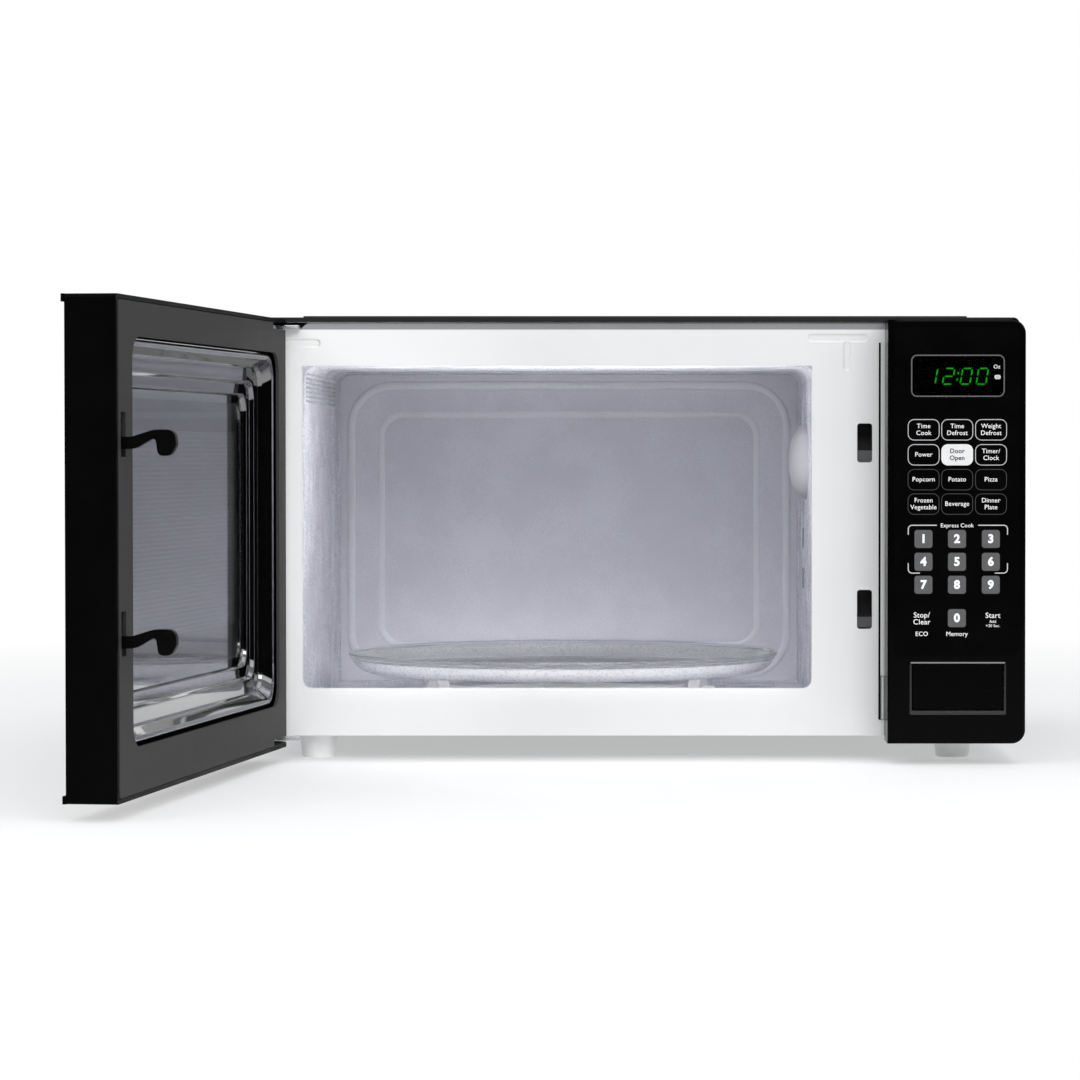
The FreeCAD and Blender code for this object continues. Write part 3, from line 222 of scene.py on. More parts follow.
def finish_material(name, colour, rough, blotch=0.08, blotch_mm=45, spread=0.06, grain=0.1, grain_mm=0.5,
                    depth_mm=0.02, stretch=None, **sockets):
    """A procedural finish: colour that drifts, roughness that varies, and a fine relief."""
    mat = bpy.data.materials.new(name)
    mat.use_nodes = True
    tree = mat.node_tree
    shader = tree.nodes["Principled BSDF"]
    coords = tree.nodes.new("ShaderNodeTexCoord").outputs["Object"]
    broad = noise_node(tree, coords, 1 / (blotch_mm * MM), 3.0, 0.6)
    fine = noise_node(tree, coords, 1 / (grain_mm * MM), 2.0, 0.6, stretch)
    mix = tree.nodes.new("ShaderNodeMix")
    mix.data_type = "RGBA"
    mix.inputs["A"].default_value = (*[c * (1 - blotch) for c in colour], 1)
    mix.inputs["B"].default_value = (*[min(c * (1 + blotch), 1) for c in colour], 1)
    tree.links.new(ranged(tree, broad, 0, 1), mix.inputs["Factor"])
    tree.links.new(mix.outputs["Result"], shader.inputs["Base Color"])
    both = tree.nodes.new("ShaderNodeMath")
    both.operation = "ADD"
    tree.links.new(ranged(tree, broad, -spread / 2, spread / 2), both.inputs[0])
    tree.links.new(ranged(tree, fine, max(rough - spread / 2, 0), rough + spread / 2), both.inputs[1])
    tree.links.new(both.outputs[0], shader.inputs["Roughness"])
    bump = tree.nodes.new("ShaderNodeBump")
    bump.inputs["Strength"].default_value = grain
    bump.inputs["Distance"].default_value = depth_mm * MM
    tree.links.new(fine, bump.inputs["Height"])
    tree.links.new(bump.outputs[0], shader.inputs["Normal"])
    for socket, value in sockets.items():
        shader.inputs[socket.replace("_", " ")].default_value = value
    return mat


def make_finishes():
    make = finish_material
    return {
        "black_enamel": make("black_enamel", (0.006, 0.006, 0.0065), 0.42, 0.15, grain=0.35, grain_mm=1.1,
                             Specular_IOR_Level=0.2),
        "rear_steel": make("rear_steel", (0.55, 0.56, 0.57), 0.42, 0.08, 18, 0.1, 0.3, 1.2, Metallic=0.85),
        "white_enamel": make("white_enamel", (0.705, 0.707, 0.707), 0.34, 0.012, 80, 0.06, 0.14, 2.2),
        "cavity_enamel": make("cavity_enamel", (0.58, 0.583, 0.635), 0.27, 0.02, 60, 0.08, 0.2, 1.4),
        "foot_plastic": make("foot_plastic", (0.86, 0.86, 0.86), 0.55, 0.05, 12, 0.08, 0.4, 0.6),
        "black_plastic": make("black_plastic", (0.001, 0.001, 0.0011), 0.42, 0.2, 35, 0.08, 0.5, 0.5,
                              Specular_IOR_Level=0.025),
        "panel_plastic": make("panel_plastic", (0.001, 0.001, 0.0011), 0.18, 0.2, 50, 0.05, 0.2, 0.7,
                              Specular_IOR_Level=0.05),
        "cover_plastic": make("cover_plastic", (0.039, 0.038, 0.038), 0.55, 0.1, 30, 0.08, 0.7, 0.45,
                              Specular_IOR_Level=0.07),
        "hook_plastic": make("hook_plastic", (0.001, 0.001, 0.0011), 0.35, 0.2, 8, 0.08, 0.4, 0.4,
                             Specular_IOR_Level=0.05),
        "button_plastic": make("button_plastic", (0.001, 0.001, 0.0011), 0.16, 0.2, 20, 0.05, 0.2, 0.5,
                               Specular_IOR_Level=0.035),
        "lip_plastic": make("lip_plastic", (0.001, 0.001, 0.0011), 0.12, 0.2, 20, 0.05, 0.2, 0.5,
                            Specular_IOR_Level=0.6),
        "overlay_film": make("overlay_film", (0.001, 0.001, 0.0011), 0.26, 0.2, 25, 0.05, 0.2, 0.35,
                             Specular_IOR_Level=0.03),
        "display_lens": make("display_lens", (0.35, 0.36, 0.35), 0.04, 0.03, 12, 0.02, 0.05, 0.9,
                             Transmission_Weight=1.0, IOR=1.12),
        "led_block": make("led_block", (0.002, 0.002, 0.002), 0.6, 0.2, 5, 0.1, 0.2, 0.4,
                          Specular_IOR_Level=0.1),
        "led_green": make("led_green", (0.0, 0.3, 0.02), 0.4, 0.1, 3, 0.1, 0.1, 0.5,
                          Emission_Color=(0.0, 0.5, 0.003, 1), Emission_Strength=1.6),
        "door_glass": make("door_glass", (0.008, 0.008, 0.009), 0.05, 0.1, 60, 0.03, 0.03, 4.0,
                           Coat_Weight=0.6, Coat_Roughness=0.03),
        "clear_film": make("clear_film", (0.97, 0.98, 0.98), 0.025, 0.01, 60, 0.02, 0.05, 9.0, 0.05,
                           Transmission_Weight=1.0, IOR=1.45),
        "screen_steel": make("screen_steel", (0.16, 0.16, 0.17), 0.38, 0.12, 25, 0.08, 0.2, 0.6,
                             Metallic=0.4),
        "black_steel": make("black_steel", (0.0015, 0.0015, 0.0017), 0.06, 0.15, 40, 0.03, 0.06, 5.0,
                            Coat_Weight=1.0, Coat_Roughness=0.02, Coat_IOR=2.4),
        "zinc_steel": make("zinc_steel", (0.62, 0.64, 0.66), 0.3, 0.12, 8, 0.12, 0.3, 0.8, Metallic=1.0),
        "screw_steel": make("screw_steel", (0.5, 0.51, 0.53), 0.28, 0.1, 5, 0.1, 0.2, 0.5, Metallic=1.0),
        "spring_steel": make("spring_steel", (0.4, 0.41, 0.42), 0.25, 0.1, 4, 0.1, 0.2, 0.3, Metallic=1.0),
        "cover_mica": make("cover_mica", (0.33, 0.33, 0.348), 0.45, 0.03, 14, 0.06, 0.3, 0.8),
        "tray_glass": make("tray_glass", (0.985, 0.99, 0.99), 0.03, 0.005, 60, 0.01, 0.05, 6.0,
                           Transmission_Weight=1.0, IOR=1.5),
        "tray_frost": make("tray_frost", (0.95, 0.955, 0.965), 0.3, 0.03, 2.5, 0.1, 0.22, 1.1, 0.08,
                           Transmission_Weight=0.16, IOR=1.45),
        # Lighter than the cavity enamel: a painted highlight along the back wall's ridges.
        "ridge_painted_highlight": make("ridge_painted_highlight", (0.66, 0.665, 0.71), 0.3, 0.02, 60, 0.08, 0.2, 1.4),
        "screen_black": make("screen_black", (0.02, 0.02, 0.022), 0.35, 0.12, 25, 0.08, 0.2, 0.6,
                             Metallic=0.3),
        # Grey for the step above the front frame: painted shade, standing for the shadow under the wrapper's
        # hem.
        "painted_shade_grey": make("painted_shade_grey", (0.26, 0.26, 0.275), 0.4, 0.05, 40, 0.06, 0.15, 2.0),
        "ring_plastic": make("ring_plastic", (0.95, 0.95, 0.945), 0.42, 0.05, 10, 0.08, 0.3, 0.5),
        "coupler_plastic": make("coupler_plastic", (0.36, 0.27, 0.2), 0.45, 0.06, 9, 0.08, 0.3, 0.5),
        "board_green": make("board_green", (0.03, 0.14, 0.06), 0.45, 0.2, 6, 0.1, 0.4, 0.6),
        "switch_plastic": make("switch_plastic", (0.05, 0.05, 0.055), 0.45, 0.1, 6, 0.08, 0.3, 0.5),
        "fin_aluminium": make("fin_aluminium", (0.72, 0.73, 0.74), 0.3, 0.08, 10, 0.12, 0.3, 0.7,
                              Metallic=1.0),
        "ferrite": make("ferrite", (0.03, 0.03, 0.034), 0.6, 0.2, 5, 0.1, 0.5, 0.4),
        "core_steel": make("core_steel", (0.2, 0.2, 0.21), 0.45, 0.15, 8, 0.1, 0.5, 0.5, 0.05,
                           (1, 30, 1), Metallic=0.7),
        "winding_copper": make("winding_copper", (0.55, 0.23, 0.09), 0.35, 0.15, 5, 0.1, 0.6, 0.6, 0.06,
                               (1, 1, 14), Metallic=0.9),
        "lamp_glass": make("lamp_glass", (0.9, 0.92, 0.9), 0.03, 0.02, 9, 0.03, 0.1, 1.0,
                           Transmission_Weight=0.9, IOR=1.5),
        "fan_plastic": make("fan_plastic", (0.1, 0.1, 0.105), 0.45, 0.1, 9, 0.08, 0.3, 0.5),
        "white_ink": make("white_ink", (0.88, 0.88, 0.89), 0.5, 0.03, 3, 0.08, 0.2, 0.3),
        "key_white": make("key_white", (0.68, 0.68, 0.68), 0.5, 0.03, 3, 0.08, 0.2, 0.3),
        "outline_ink": make("outline_ink", (0.5, 0.5, 0.51), 0.5, 0.03, 3, 0.08, 0.2, 0.3),
        "grey_ink": make("grey_ink", (0.07, 0.07, 0.072), 0.5, 0.08, 3, 0.08, 0.2, 0.3),
        "dim_ink": make("dim_ink", (0.016, 0.016, 0.017), 0.5, 0.1, 3, 0.08, 0.2, 0.3),
        "frame_ink": make("frame_ink", (0.09, 0.09, 0.092), 0.45, 0.08, 3, 0.08, 0.2, 0.3),
        "dark_ink": make("dark_ink", (0.012, 0.012, 0.013), 0.5, 0.1, 3, 0.08, 0.2, 0.3),
    }


# --- meshes ---------------------------------------------------------------------------------------

def add_piece(name, bm, body, finish, scale=MM, matrix=None):
    """Makes a bmesh drawn in millimetres into a piece that rides on a body."""
    mesh = bpy.data.meshes.new(name)
    if scale != 1:
        bmesh.ops.scale(bm, vec=(scale,) * 3, verts=bm.verts)
    if matrix:
        bmesh.ops.transform(bm, matrix=matrix, verts=bm.verts)
    bmesh.ops.recalc_face_normals(bm, faces=bm.faces)
    bm.to_mesh(mesh)
    bm.free()
    mesh.materials.append(FINISHES[finish])
    piece = bpy.data.objects.new(name, mesh)
    bpy.context.scene.collection.objects.link(piece)
    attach(piece, body)
    return piece


def round_edges(piece, width, segments=2, angle=35):
    """A rounded edge wherever two faces meet at more than the angle."""
    modifier = piece.modifiers.new("edges", "BEVEL")
    modifier.width = width * MM
    modifier.segments = segments
    modifier.limit_method = "ANGLE"
    modifier.angle_limit = math.radians(angle)
    modifier.harden_normals = True
    return piece


def smooth(piece, angle=30):
    piece.data.shade_smooth()
    piece.data.set_sharp_from_angle(angle=math.radians(angle))
    return piece


# Points of a CAD mesh nearer than this, in metres, are one; faces within this angle are one face.
WELD = 0.000004
FLAT_ENOUGH = math.radians(0.6)


def refined(node, finish, edge=0.0, segments=2, angle=35):
    """A clean copy of a CAD node with whole faces and rounded edges, which stands for the node."""
    source = NODES[node]
    bm = bmesh.new()
    bm.from_mesh(source.data)
    bmesh.ops.remove_doubles(bm, verts=bm.verts, dist=WELD)
    bmesh.ops.dissolve_limit(bm, angle_limit=FLAT_ENOUGH, verts=bm.verts, edges=bm.edges)
    piece = add_piece(node + "_skin", bm, source["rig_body"], finish, scale=1)
    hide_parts(node)
    smooth(piece)
    if edge:
        round_edges(piece, edge, segments, angle)
    return piece


def carve(piece, bm):
    """Cuts a closed bmesh, drawn in millimetres, out of a piece."""
    bmesh.ops.scale(bm, vec=(MM,) * 3, verts=bm.verts)
    mesh = bpy.data.meshes.new("cutter")
    bmesh.ops.recalc_face_normals(bm, faces=bm.faces)
    bm.to_mesh(mesh)
    bm.free()
    cutter = bpy.data.objects.new("cutter", mesh)
    bpy.context.scene.collection.objects.link(cutter)
    modifier = piece.modifiers.new("carve", "BOOLEAN")
    modifier.object, modifier.operation, modifier.solver = cutter, "DIFFERENCE", "EXACT"
    graph = bpy.context.evaluated_depsgraph_get()
    carved = bpy.data.meshes.new_from_object(piece.evaluated_get(graph))
    piece.modifiers.clear()
    old, piece.data = piece.data, carved
    carved.name = piece.name
    bpy.data.meshes.remove(old)
    bpy.data.objects.remove(cutter)
    bpy.data.meshes.remove(mesh)


def rounded_loop(left, low, width, height, radius, corner=6):
    """The points of a rounded rectangle in X and Z, anticlockwise seen from the front."""
    radius = max(min(radius, width / 2 - 1e-4, height / 2 - 1e-4), 1e-4)
    points = []
    for quarter, (cx, cz) in enumerate(((left + width - radius, low + height - radius),
                                        (left + radius, low + height - radius),
                                        (left + radius, low + radius),
                                        (left + width - radius, low + radius))):
        for step in range(corner + 1):
            turn = math.radians(90 * (quarter + step / corner))
            points.append((cx + radius * math.cos(turn), cz + radius * math.sin(turn)))
    return points


def skin_loops(bm, rings, closed=False):
    """Quads between successive rings of vertices; closed joins the last ring to the first."""
    count = len(rings[0])
    pairs = list(zip(rings, rings[1:])) + ([(rings[-1], rings[0])] if closed else [])
    for first, second in pairs:
        for n in range(count):
            m = (n + 1) % count
            bm.faces.new((first[n], first[m], second[m], second[n]))


def add_ring(bm, outline, y):
    return [bm.verts.new((x, y, z)) for x, z in outline]


def add_hoop(bm, outer, inner, front, back):
    """A closed hoop between two outlines with as many points."""
    rings = [add_ring(bm, outer, back), add_ring(bm, outer, front), add_ring(bm, inner, front),
             add_ring(bm, inner, back)]
    skin_loops(bm, rings, closed=True)


def add_plate(bm, near_outline, far_outline, front, back):
    """A closed plate between a front outline and a back one with as many points."""
    near, far = add_ring(bm, near_outline, front), add_ring(bm, far_outline, back)
    skin_loops(bm, [far, near])
    bm.faces.new(near)
    bm.faces.new(far[::-1])


def add_band(bm, left, low, width, height, radius, stroke, front, back):
    """A closed rounded-rectangle band, such as a printed key outline."""
    outer = rounded_loop(left, low, width, height, radius)
    inner = rounded_loop(left + stroke, low + stroke, width - 2 * stroke, height - 2 * stroke,
                         max(radius - stroke, 0.05))
    add_hoop(bm, outer, inner, front, back)


def add_patch(bm, left, low, width, height, radius, front, back):
    """A closed rounded-rectangle plate."""
    outline = rounded_loop(left, low, width, height, radius)
    add_plate(bm, outline, outline, front, back)


def add_tapered(bm, left, low, width, height, radius, front, back, taper):
    """A closed plate whose back outline is smaller than its front one by the taper all round."""
    near = rounded_loop(left, low, width, height, radius)
    far = rounded_loop(left + taper, low + taper, width - 2 * taper, height - 2 * taper,
                       max(radius - taper, 0.3))
    add_plate(bm, near, far, front, back)


BLOCK_EDGE = 0.02


def add_block(bm, x, y, z):
    """A block between two values on each axis."""
    add_patch(bm, x[0], z[0], x[1] - x[0], z[1] - z[0], BLOCK_EDGE, y[0], y[1])


def add_stroke(bm, points, width, front, back):
    """A flat strip along X-Z points, such as one arm of a printed bracket."""
    sides = []
    for n, point in enumerate(points):
        before, after = points[max(n - 1, 0)], points[min(n + 1, len(points) - 1)]
        run = Vector((after[0] - before[0], after[1] - before[1])).normalized() * width / 2
        sides.append(((point[0] - run.y, point[1] + run.x), (point[0] + run.y, point[1] - run.x)))
    rings = []
    for left, right in sides:
        rings.append([bm.verts.new((left[0], front, left[1])), bm.verts.new((right[0], front, right[1])),
                      bm.verts.new((right[0], back, right[1])), bm.verts.new((left[0], back, left[1]))])
    skin_loops(bm, rings)
    bm.faces.new(rings[0][::-1])
    bm.faces.new(rings[-1])


# --- lettering ------------------------------------------------------------------------------------

# A capital's share of the type size, how far ink stands out, and how far words sit above centre.
CAPITAL_SHARE = 0.729
INK = 0.06
TYPE_LIFT = 0.4
TRACKING = 1.03
CURVE_STEPS = 3


def set_type(bm, text, x, z, capital, front, weight=0.0):
    """Adds one line of lettering centred on x and z; weight thickens the strokes."""
    curve = bpy.data.curves.new("type", "FONT")
    curve.body = text
    curve.align_x, curve.align_y = "CENTER", "BOTTOM_BASELINE"
    curve.size = capital / CAPITAL_SHARE
    curve.extrude = INK / 2
    curve.offset = weight
    curve.resolution_u = CURVE_STEPS
    curve.space_character = TRACKING
    holder = bpy.data.objects.new("type", curve)
    bpy.context.scene.collection.objects.link(holder)
    graph = bpy.context.evaluated_depsgraph_get()
    mesh = bpy.data.meshes.new_from_object(holder.evaluated_get(graph))
    foot = Matrix.Translation((x, front + INK / 2, z - capital / 2 + TYPE_LIFT))
    mesh.transform(foot @ Matrix.Rotation(math.radians(90), 4, "X"))
    bm.from_mesh(mesh)
    bpy.data.objects.remove(holder)
    bpy.data.curves.remove(curve)
    bpy.data.meshes.remove(mesh)


COLUMNS = (189.4, 211.4, 233.6)
KEY_ROWS = (220.2, 203.8, 187.5, 171.5)
KEY_W, KEY_H, KEY_R, KEY_LINE = 20.8, 13.9, 4.2, 0.44
BRIGHT_ROWS = 2
LEGENDS = ((("Time", "Cook"), ("Time", "Defrost"), ("Weight", "Defrost")),
           (("Power",), ("Door", "Open"), ("Timer/", "Clock")),
           (("Popcorn",), ("Potato",), ("Pizza",)),
           (("Frozen", "Vegetable"), ("Beverage",), ("Dinner", "Plate")))
WHITE_KEY = ("Door", "Open")
LEGEND_CAPITAL, LINE_GAP, DARK_WEIGHT = 3.1, 4.5, 0.09
NUMERAL_ROWS = (148.6, 133.6, 118.5, 96.6)
NUMERALS = ("123", "456", "789", " 0 ")
NUMERAL_SIDE, NUMERAL_R, NUMERAL_CAPITAL, NUMERAL_WEIGHT = 11.8, 1.8, 5.6, 0.32
# Words that stand alone: text, X and Z of the middle, and capital height.
WORDS = (
    ("Express Cook", COLUMNS[1], 157.2, 2.7),
    ("Stop/", 188.3, 98.4, 3.6),
    ("Clear", 188.3, 93.9, 3.6),
    ("ECO", 188.3, 86.0, 3.0),
    ("Memory", COLUMNS[1], 86.0, 3.0),
    ("Start", 235.0, 98.2, 3.6),
    ("Add", 235.0, 94.1, 1.9),
    ("+30 Sec.", 235.0, 91.3, 1.9),
    ("Oz", 237.3, 261.3, 2.6),
)
# The cup sign by the clock: left, low, width, height, radius and stroke.
CUP_SIGN = (235.7, 253.4, 4.2, 2.8, 1.2, 1.3)
PROUD = 0.05
RIM_SIDE, RIM_RISE, RIM_R, RIM_LINE = 0.4, 0.9, 4.0, 0.75


def print_keys(words, dark_words, bright, dim, white_key, front, back, type_front):
    """The outlined keys with their one or two lines of words, and the white key."""
    for row, (z, labels) in enumerate(zip(KEY_ROWS, LEGENDS)):
        for x, lines in zip(COLUMNS, labels):
            left, low = x - KEY_W / 2, z - KEY_H / 2
            white = lines == WHITE_KEY
            if white:
                add_patch(white_key, left, low, KEY_W, KEY_H, KEY_R, front, back)
            else:
                add_band(bright if row < BRIGHT_ROWS else dim, left, low, KEY_W, KEY_H, KEY_R, KEY_LINE,
                         front, back)
            lift = LINE_GAP / 2 * (len(lines) - 1)
            for n, line in enumerate(lines):
                set_type(dark_words if white else words, line, x, z + lift - n * LINE_GAP, LEGEND_CAPITAL,
                         type_front, DARK_WEIGHT if white else 0.0)


def print_panel():
    """The printed keypad: outlines, words and numerals, a hair above the overlay film."""
    front, back = FILM_FACE - INK, FILM_FACE + 0.02
    type_front = FILM_FACE - 2 * INK
    words, dark_words, bright, dim, patches, white_key = (bmesh.new() for _ in range(6))
    print_keys(words, dark_words, bright, dim, white_key, front, back, type_front)
    half = NUMERAL_SIDE / 2
    for z, numerals in zip(NUMERAL_ROWS, NUMERALS):
        for x, numeral in zip(COLUMNS, numerals):
            if numeral == " ":
                continue
            add_patch(patches, x - half, z - half, NUMERAL_SIDE, NUMERAL_SIDE, NUMERAL_R, front, back)
            set_type(words, numeral, x, z, NUMERAL_CAPITAL, type_front, NUMERAL_WEIGHT)
    for text, x, z, capital in WORDS:
        set_type(words, text, x, z, capital, type_front)
    add_brackets(bright, front, back)
    add_band(bright, *CUP_SIGN, front - PROUD, back)
    prints = (("legend_words", words, "white_ink"), ("legend_dark_words", dark_words, "dark_ink"),
              ("key_outlines", bright, "outline_ink"), ("key_outlines_dim", dim, "dim_ink"),
              ("numeral_patches", patches, "grey_ink"), ("white_key", white_key, "key_white"))
    for name, bm, finish in prints:
        add_piece(name, bm, "case", finish)
    rim = bmesh.new()
    add_band(rim, LENS_LOW.x - RIM_SIDE, LENS_LOW.z - RIM_RISE, LENS_HIGH.x - LENS_LOW.x + 2 * RIM_SIDE,
             LENS_HIGH.z - LENS_LOW.z + 2 * RIM_RISE, RIM_R, RIM_LINE, front - PROUD, back)
    add_piece("display_rim", rim, "case", "frame_ink")


# The brackets round the quick-start numerals: Z of their level arms, corner radius and stroke. Then for
# the left and right ones the way they open, X of the upright arms, and X where the upper and the lower
# level arms end. The tails are Z where the upright arms end.
BRACKET_TOP, BRACKET_LOW, BRACKET_BEND, BRACKET_LINE = 157.6, 126.2, 2.5, 0.65
BRACKET_SIDES = ((1, 179.4, 198.2, 187.0), (-1, 244.5, 225.3, 236.2))
BRACKET_TOP_TAIL, BRACKET_LOW_TAIL = 151.4, 132.7


def add_brackets(bm, front, back):
    """The two pairs of corner brackets round the quick-start numerals."""
    for side, edge, upper_end, lower_end in BRACKET_SIDES:
        for level, way, arm_end, tail in ((BRACKET_TOP, -1, upper_end, BRACKET_TOP_TAIL),
                                          (BRACKET_LOW, 1, lower_end, BRACKET_LOW_TAIL)):
            arc = [(edge + side * BRACKET_BEND * (1 - math.cos(math.radians(t))),
                    level + way * BRACKET_BEND * (1 - math.sin(math.radians(t)))) for t in range(0, 91, 15)]
            add_stroke(bm, [(edge, tail), *arc, (arm_end, level)], BRACKET_LINE, front, back)


DIGIT_W, DIGIT_H, DIGIT_BAR, DIGIT_LEAN = 6.3, 10.3, 0.95, 0.17
DIGIT_LOW, DIGIT_PROUD = 250.2, 0.3
FIGURES = (("1", 190.8), ("2", 202.0), ("0", 213.6), ("0", 224.1))
SEGMENTS = {"0": "abcdef", "1": "bc", "2": "abged"}
# Stations along a bar as shares of its length, the share of its width left at the tips, and the gap
# at each end as a share of its width. The colon's dots are given by their height above the figures' foot.
BAR_STATIONS, TIP_SHARE, BAR_GAP = (0, 0.12, 0.88, 1), 0.35, 0.62
COLON_X, COLON_DOTS, DOT_SIDE, DOT_R = 210.4, (3.0, 7.1), 1.3, 0.6


def bar_outline(start, end):
    """The outline of one bar of a figure, with tapered tips."""
    (x0, z0), (x1, z1) = start, end
    run = Vector((x1 - x0, z1 - z0)).normalized()
    gap = DIGIT_BAR * BAR_GAP
    sides = []
    for share in BAR_STATIONS:
        x = x0 + run.x * gap + (x1 - x0 - 2 * run.x * gap) * share
        z = z0 + run.y * gap + (z1 - z0 - 2 * run.y * gap) * share
        width = DIGIT_BAR if 0 < share < 1 else DIGIT_BAR * TIP_SHARE
        across = Vector((-run.y, run.x)) * width / 2
        sides.append(((x + across.x, z + across.y), (x - across.x, z - across.y)))
    return [pair[0] for pair in sides] + [pair[1] for pair in sides[::-1]]


def light_digits():
    """The clock's slanted seven-segment figures."""
    bm = bmesh.new()
    back = node_box("led_display")[0].y
    front = back - DIGIT_PROUD
    middle = DIGIT_H / 2
    ends = {"a": ((0, DIGIT_H), (DIGIT_W, DIGIT_H)), "b": ((DIGIT_W, DIGIT_H), (DIGIT_W, middle)),
            "c": ((DIGIT_W, middle), (DIGIT_W, 0)), "d": ((0, 0), (DIGIT_W, 0)), "e": ((0, middle), (0, 0)),
            "f": ((0, DIGIT_H), (0, middle)), "g": ((0, middle), (DIGIT_W, middle))}
    for figure, left in FIGURES:
        for segment in SEGMENTS[figure]:
            slanted = [(left + x + z * DIGIT_LEAN, DIGIT_LOW + z) for x, z in bar_outline(*ends[segment])]
            add_plate(bm, slanted, slanted, front, back)
    for z in COLON_DOTS:
        add_patch(bm, COLON_X + z * DIGIT_LEAN, DIGIT_LOW + z - DOT_R, DOT_SIDE, DOT_SIDE, DOT_R, front, back)
    add_piece("clock_figures", bm, "case", "led_green")


# --- door recess ----------------------------------------------------------------------------------

# The door is drawn shut and then swung. Its inner face is the plane INNER, and depths run from there
# towards the glass. WINDOW is the opening in the inner cover: left, low, width, height, corner radius.
# RECESS_STEPS are the wall's profile, as pairs of inset from that opening and depth.
INNER = FACE - 2
WINDOW = (-228.8, 39, 362.1, 231.6, 14)
RECESS_STEPS = ((-1.5, 6), (1.5, 6), (2, 3.4), (3, 2.9), (5, 3.8), (9.5, 9.5), (10.3, 12), (19, 12.4),
                (20.8, 15), (27.6, 15.4), (28.4, 18), (34, 18.3), (34.6, 20), (34.6, 21), (-1.5, 21))
SCREEN_DEPTH, SCREEN_T, MARGIN_INSET = 20, 0.6, 33.5
FILM_INSET, FILM_DEPTH, FILM_T = 29, 17.4, 0.4
HOLE_PITCH, HOLE_ROWS, HOLE_COLS, HOLE_RAD = 2.8, 44, 98, 0.96
HOLE_LEFT, HOLE_LOW = -186, 95
HOLE_TURNS = (240, 270, 300, 60, 90, 120)
CELL_RIM = ((0, 0), (1, 0), (2, 0), (2, 2), (1, 2), (0, 2))
LEAST_RADIUS = 6


def window_loop(inset, corner=10):
    """The window's outline, drawn in by the inset."""
    left, low, width, height, radius = WINDOW
    return rounded_loop(left + inset, low + inset, width - 2 * inset, height - 2 * inset,
                        max(radius - 0.1 * inset, LEAST_RADIUS), corner)


def make_recess():
    """The stepped, glossy wall that leads from the door's inner cover down to the screen."""
    bm = bmesh.new()
    rings = [add_ring(bm, window_loop(inset), INNER - depth) for inset, depth in RECESS_STEPS]
    skin_loops(bm, rings, closed=True)
    piece = add_piece("door_recess", bm, "door", "black_steel", matrix=SWING)
    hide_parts("door_steel_frame")
    round_edges(smooth(piece, 20), 0.5, 3, 20)


def make_screen():
    """The perforated screen: six-sided holes in staggered rows, with a plain margin."""
    bm = bmesh.new()
    corners = {}

    def corner(x, z):
        key = (round(x, 3), round(z, 3))
        if key not in corners:
            corners[key] = bm.verts.new((x, INNER - SCREEN_DEPTH, z))
        return corners[key]

    half = HOLE_PITCH / 2
    right = HOLE_LEFT + HOLE_COLS * HOLE_PITCH
    for row in range(HOLE_ROWS):
        z = HOLE_LOW + row * HOLE_PITCH
        odd = row % 2
        cells = [HOLE_LEFT + (n + odd / 2) * HOLE_PITCH for n in range(HOLE_COLS - odd)]
        for x in cells:
            rim = [corner(x + dx * half, z + dz * half) for dx, dz in CELL_RIM]
            hole = []
            for turn in HOLE_TURNS:
                angle = math.radians(turn)
                hole.append(bm.verts.new((x + half + HOLE_RAD * math.cos(angle), INNER - SCREEN_DEPTH,
                                          z + half + HOLE_RAD * math.sin(angle))))
            for n in range(len(hole)):
                m = (n + 1) % len(hole)
                bm.faces.new((rim[n], rim[m], hole[m], hole[n]))
        if odd:
            for x in (HOLE_LEFT, right - half):
                bm.faces.new([corner(x, z), corner(x + half, z), corner(x + half, z + HOLE_PITCH),
                              corner(x, z + HOLE_PITCH)])
    made = bmesh.ops.extrude_face_region(bm, geom=bm.faces[:])
    bmesh.ops.translate(bm, vec=(0, -SCREEN_T, 0),
                        verts=[item for item in made["geom"] if isinstance(item, bmesh.types.BMVert)])
    piece = add_piece("door_screen_mesh", bm, "door", "screen_steel", matrix=SWING)
    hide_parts("door_mesh_screen")
    border = bmesh.new()
    high = HOLE_LOW + HOLE_ROWS * HOLE_PITCH
    front, back = INNER - SCREEN_DEPTH, INNER - SCREEN_DEPTH - SCREEN_T
    outer = window_loop(MARGIN_INSET)
    inner = rounded_loop(HOLE_LEFT, HOLE_LOW, right - HOLE_LEFT, high - HOLE_LOW, 0.05, 10)
    add_hoop(border, outer, inner, front, back)
    add_piece("door_screen_margin", border, "door", "screen_black", matrix=SWING)


def make_film():
    """The clear film that seals the screen off from the cavity."""
    bm = bmesh.new()
    loop = window_loop(FILM_INSET)
    add_plate(bm, loop, loop, INNER - FILM_DEPTH, INNER - FILM_DEPTH - FILM_T)
    piece = add_piece("door_film", bm, "door", "clear_film", matrix=SWING)
    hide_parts("door_inner_film")


# --- turntable glass ------------------------------------------------------------------------------

TRAY_STEPS = 480
SKIRT_RINGS = 12
SKIRT_WIDTH = 20.5
PEBBLE, PEBBLE_PITCH = 0.05, 1.9


def point_along(points, share):
    """The point at a share of the way along a run of (radius, height) points."""
    place = share * (len(points) - 1)
    index = min(int(place), len(points) - 2)
    part = place - index
    (r0, z0), (r1, z1) = points[index], points[index + 1]
    return r0 + (r1 - r0) * part, z0 + (z1 - z0) * part


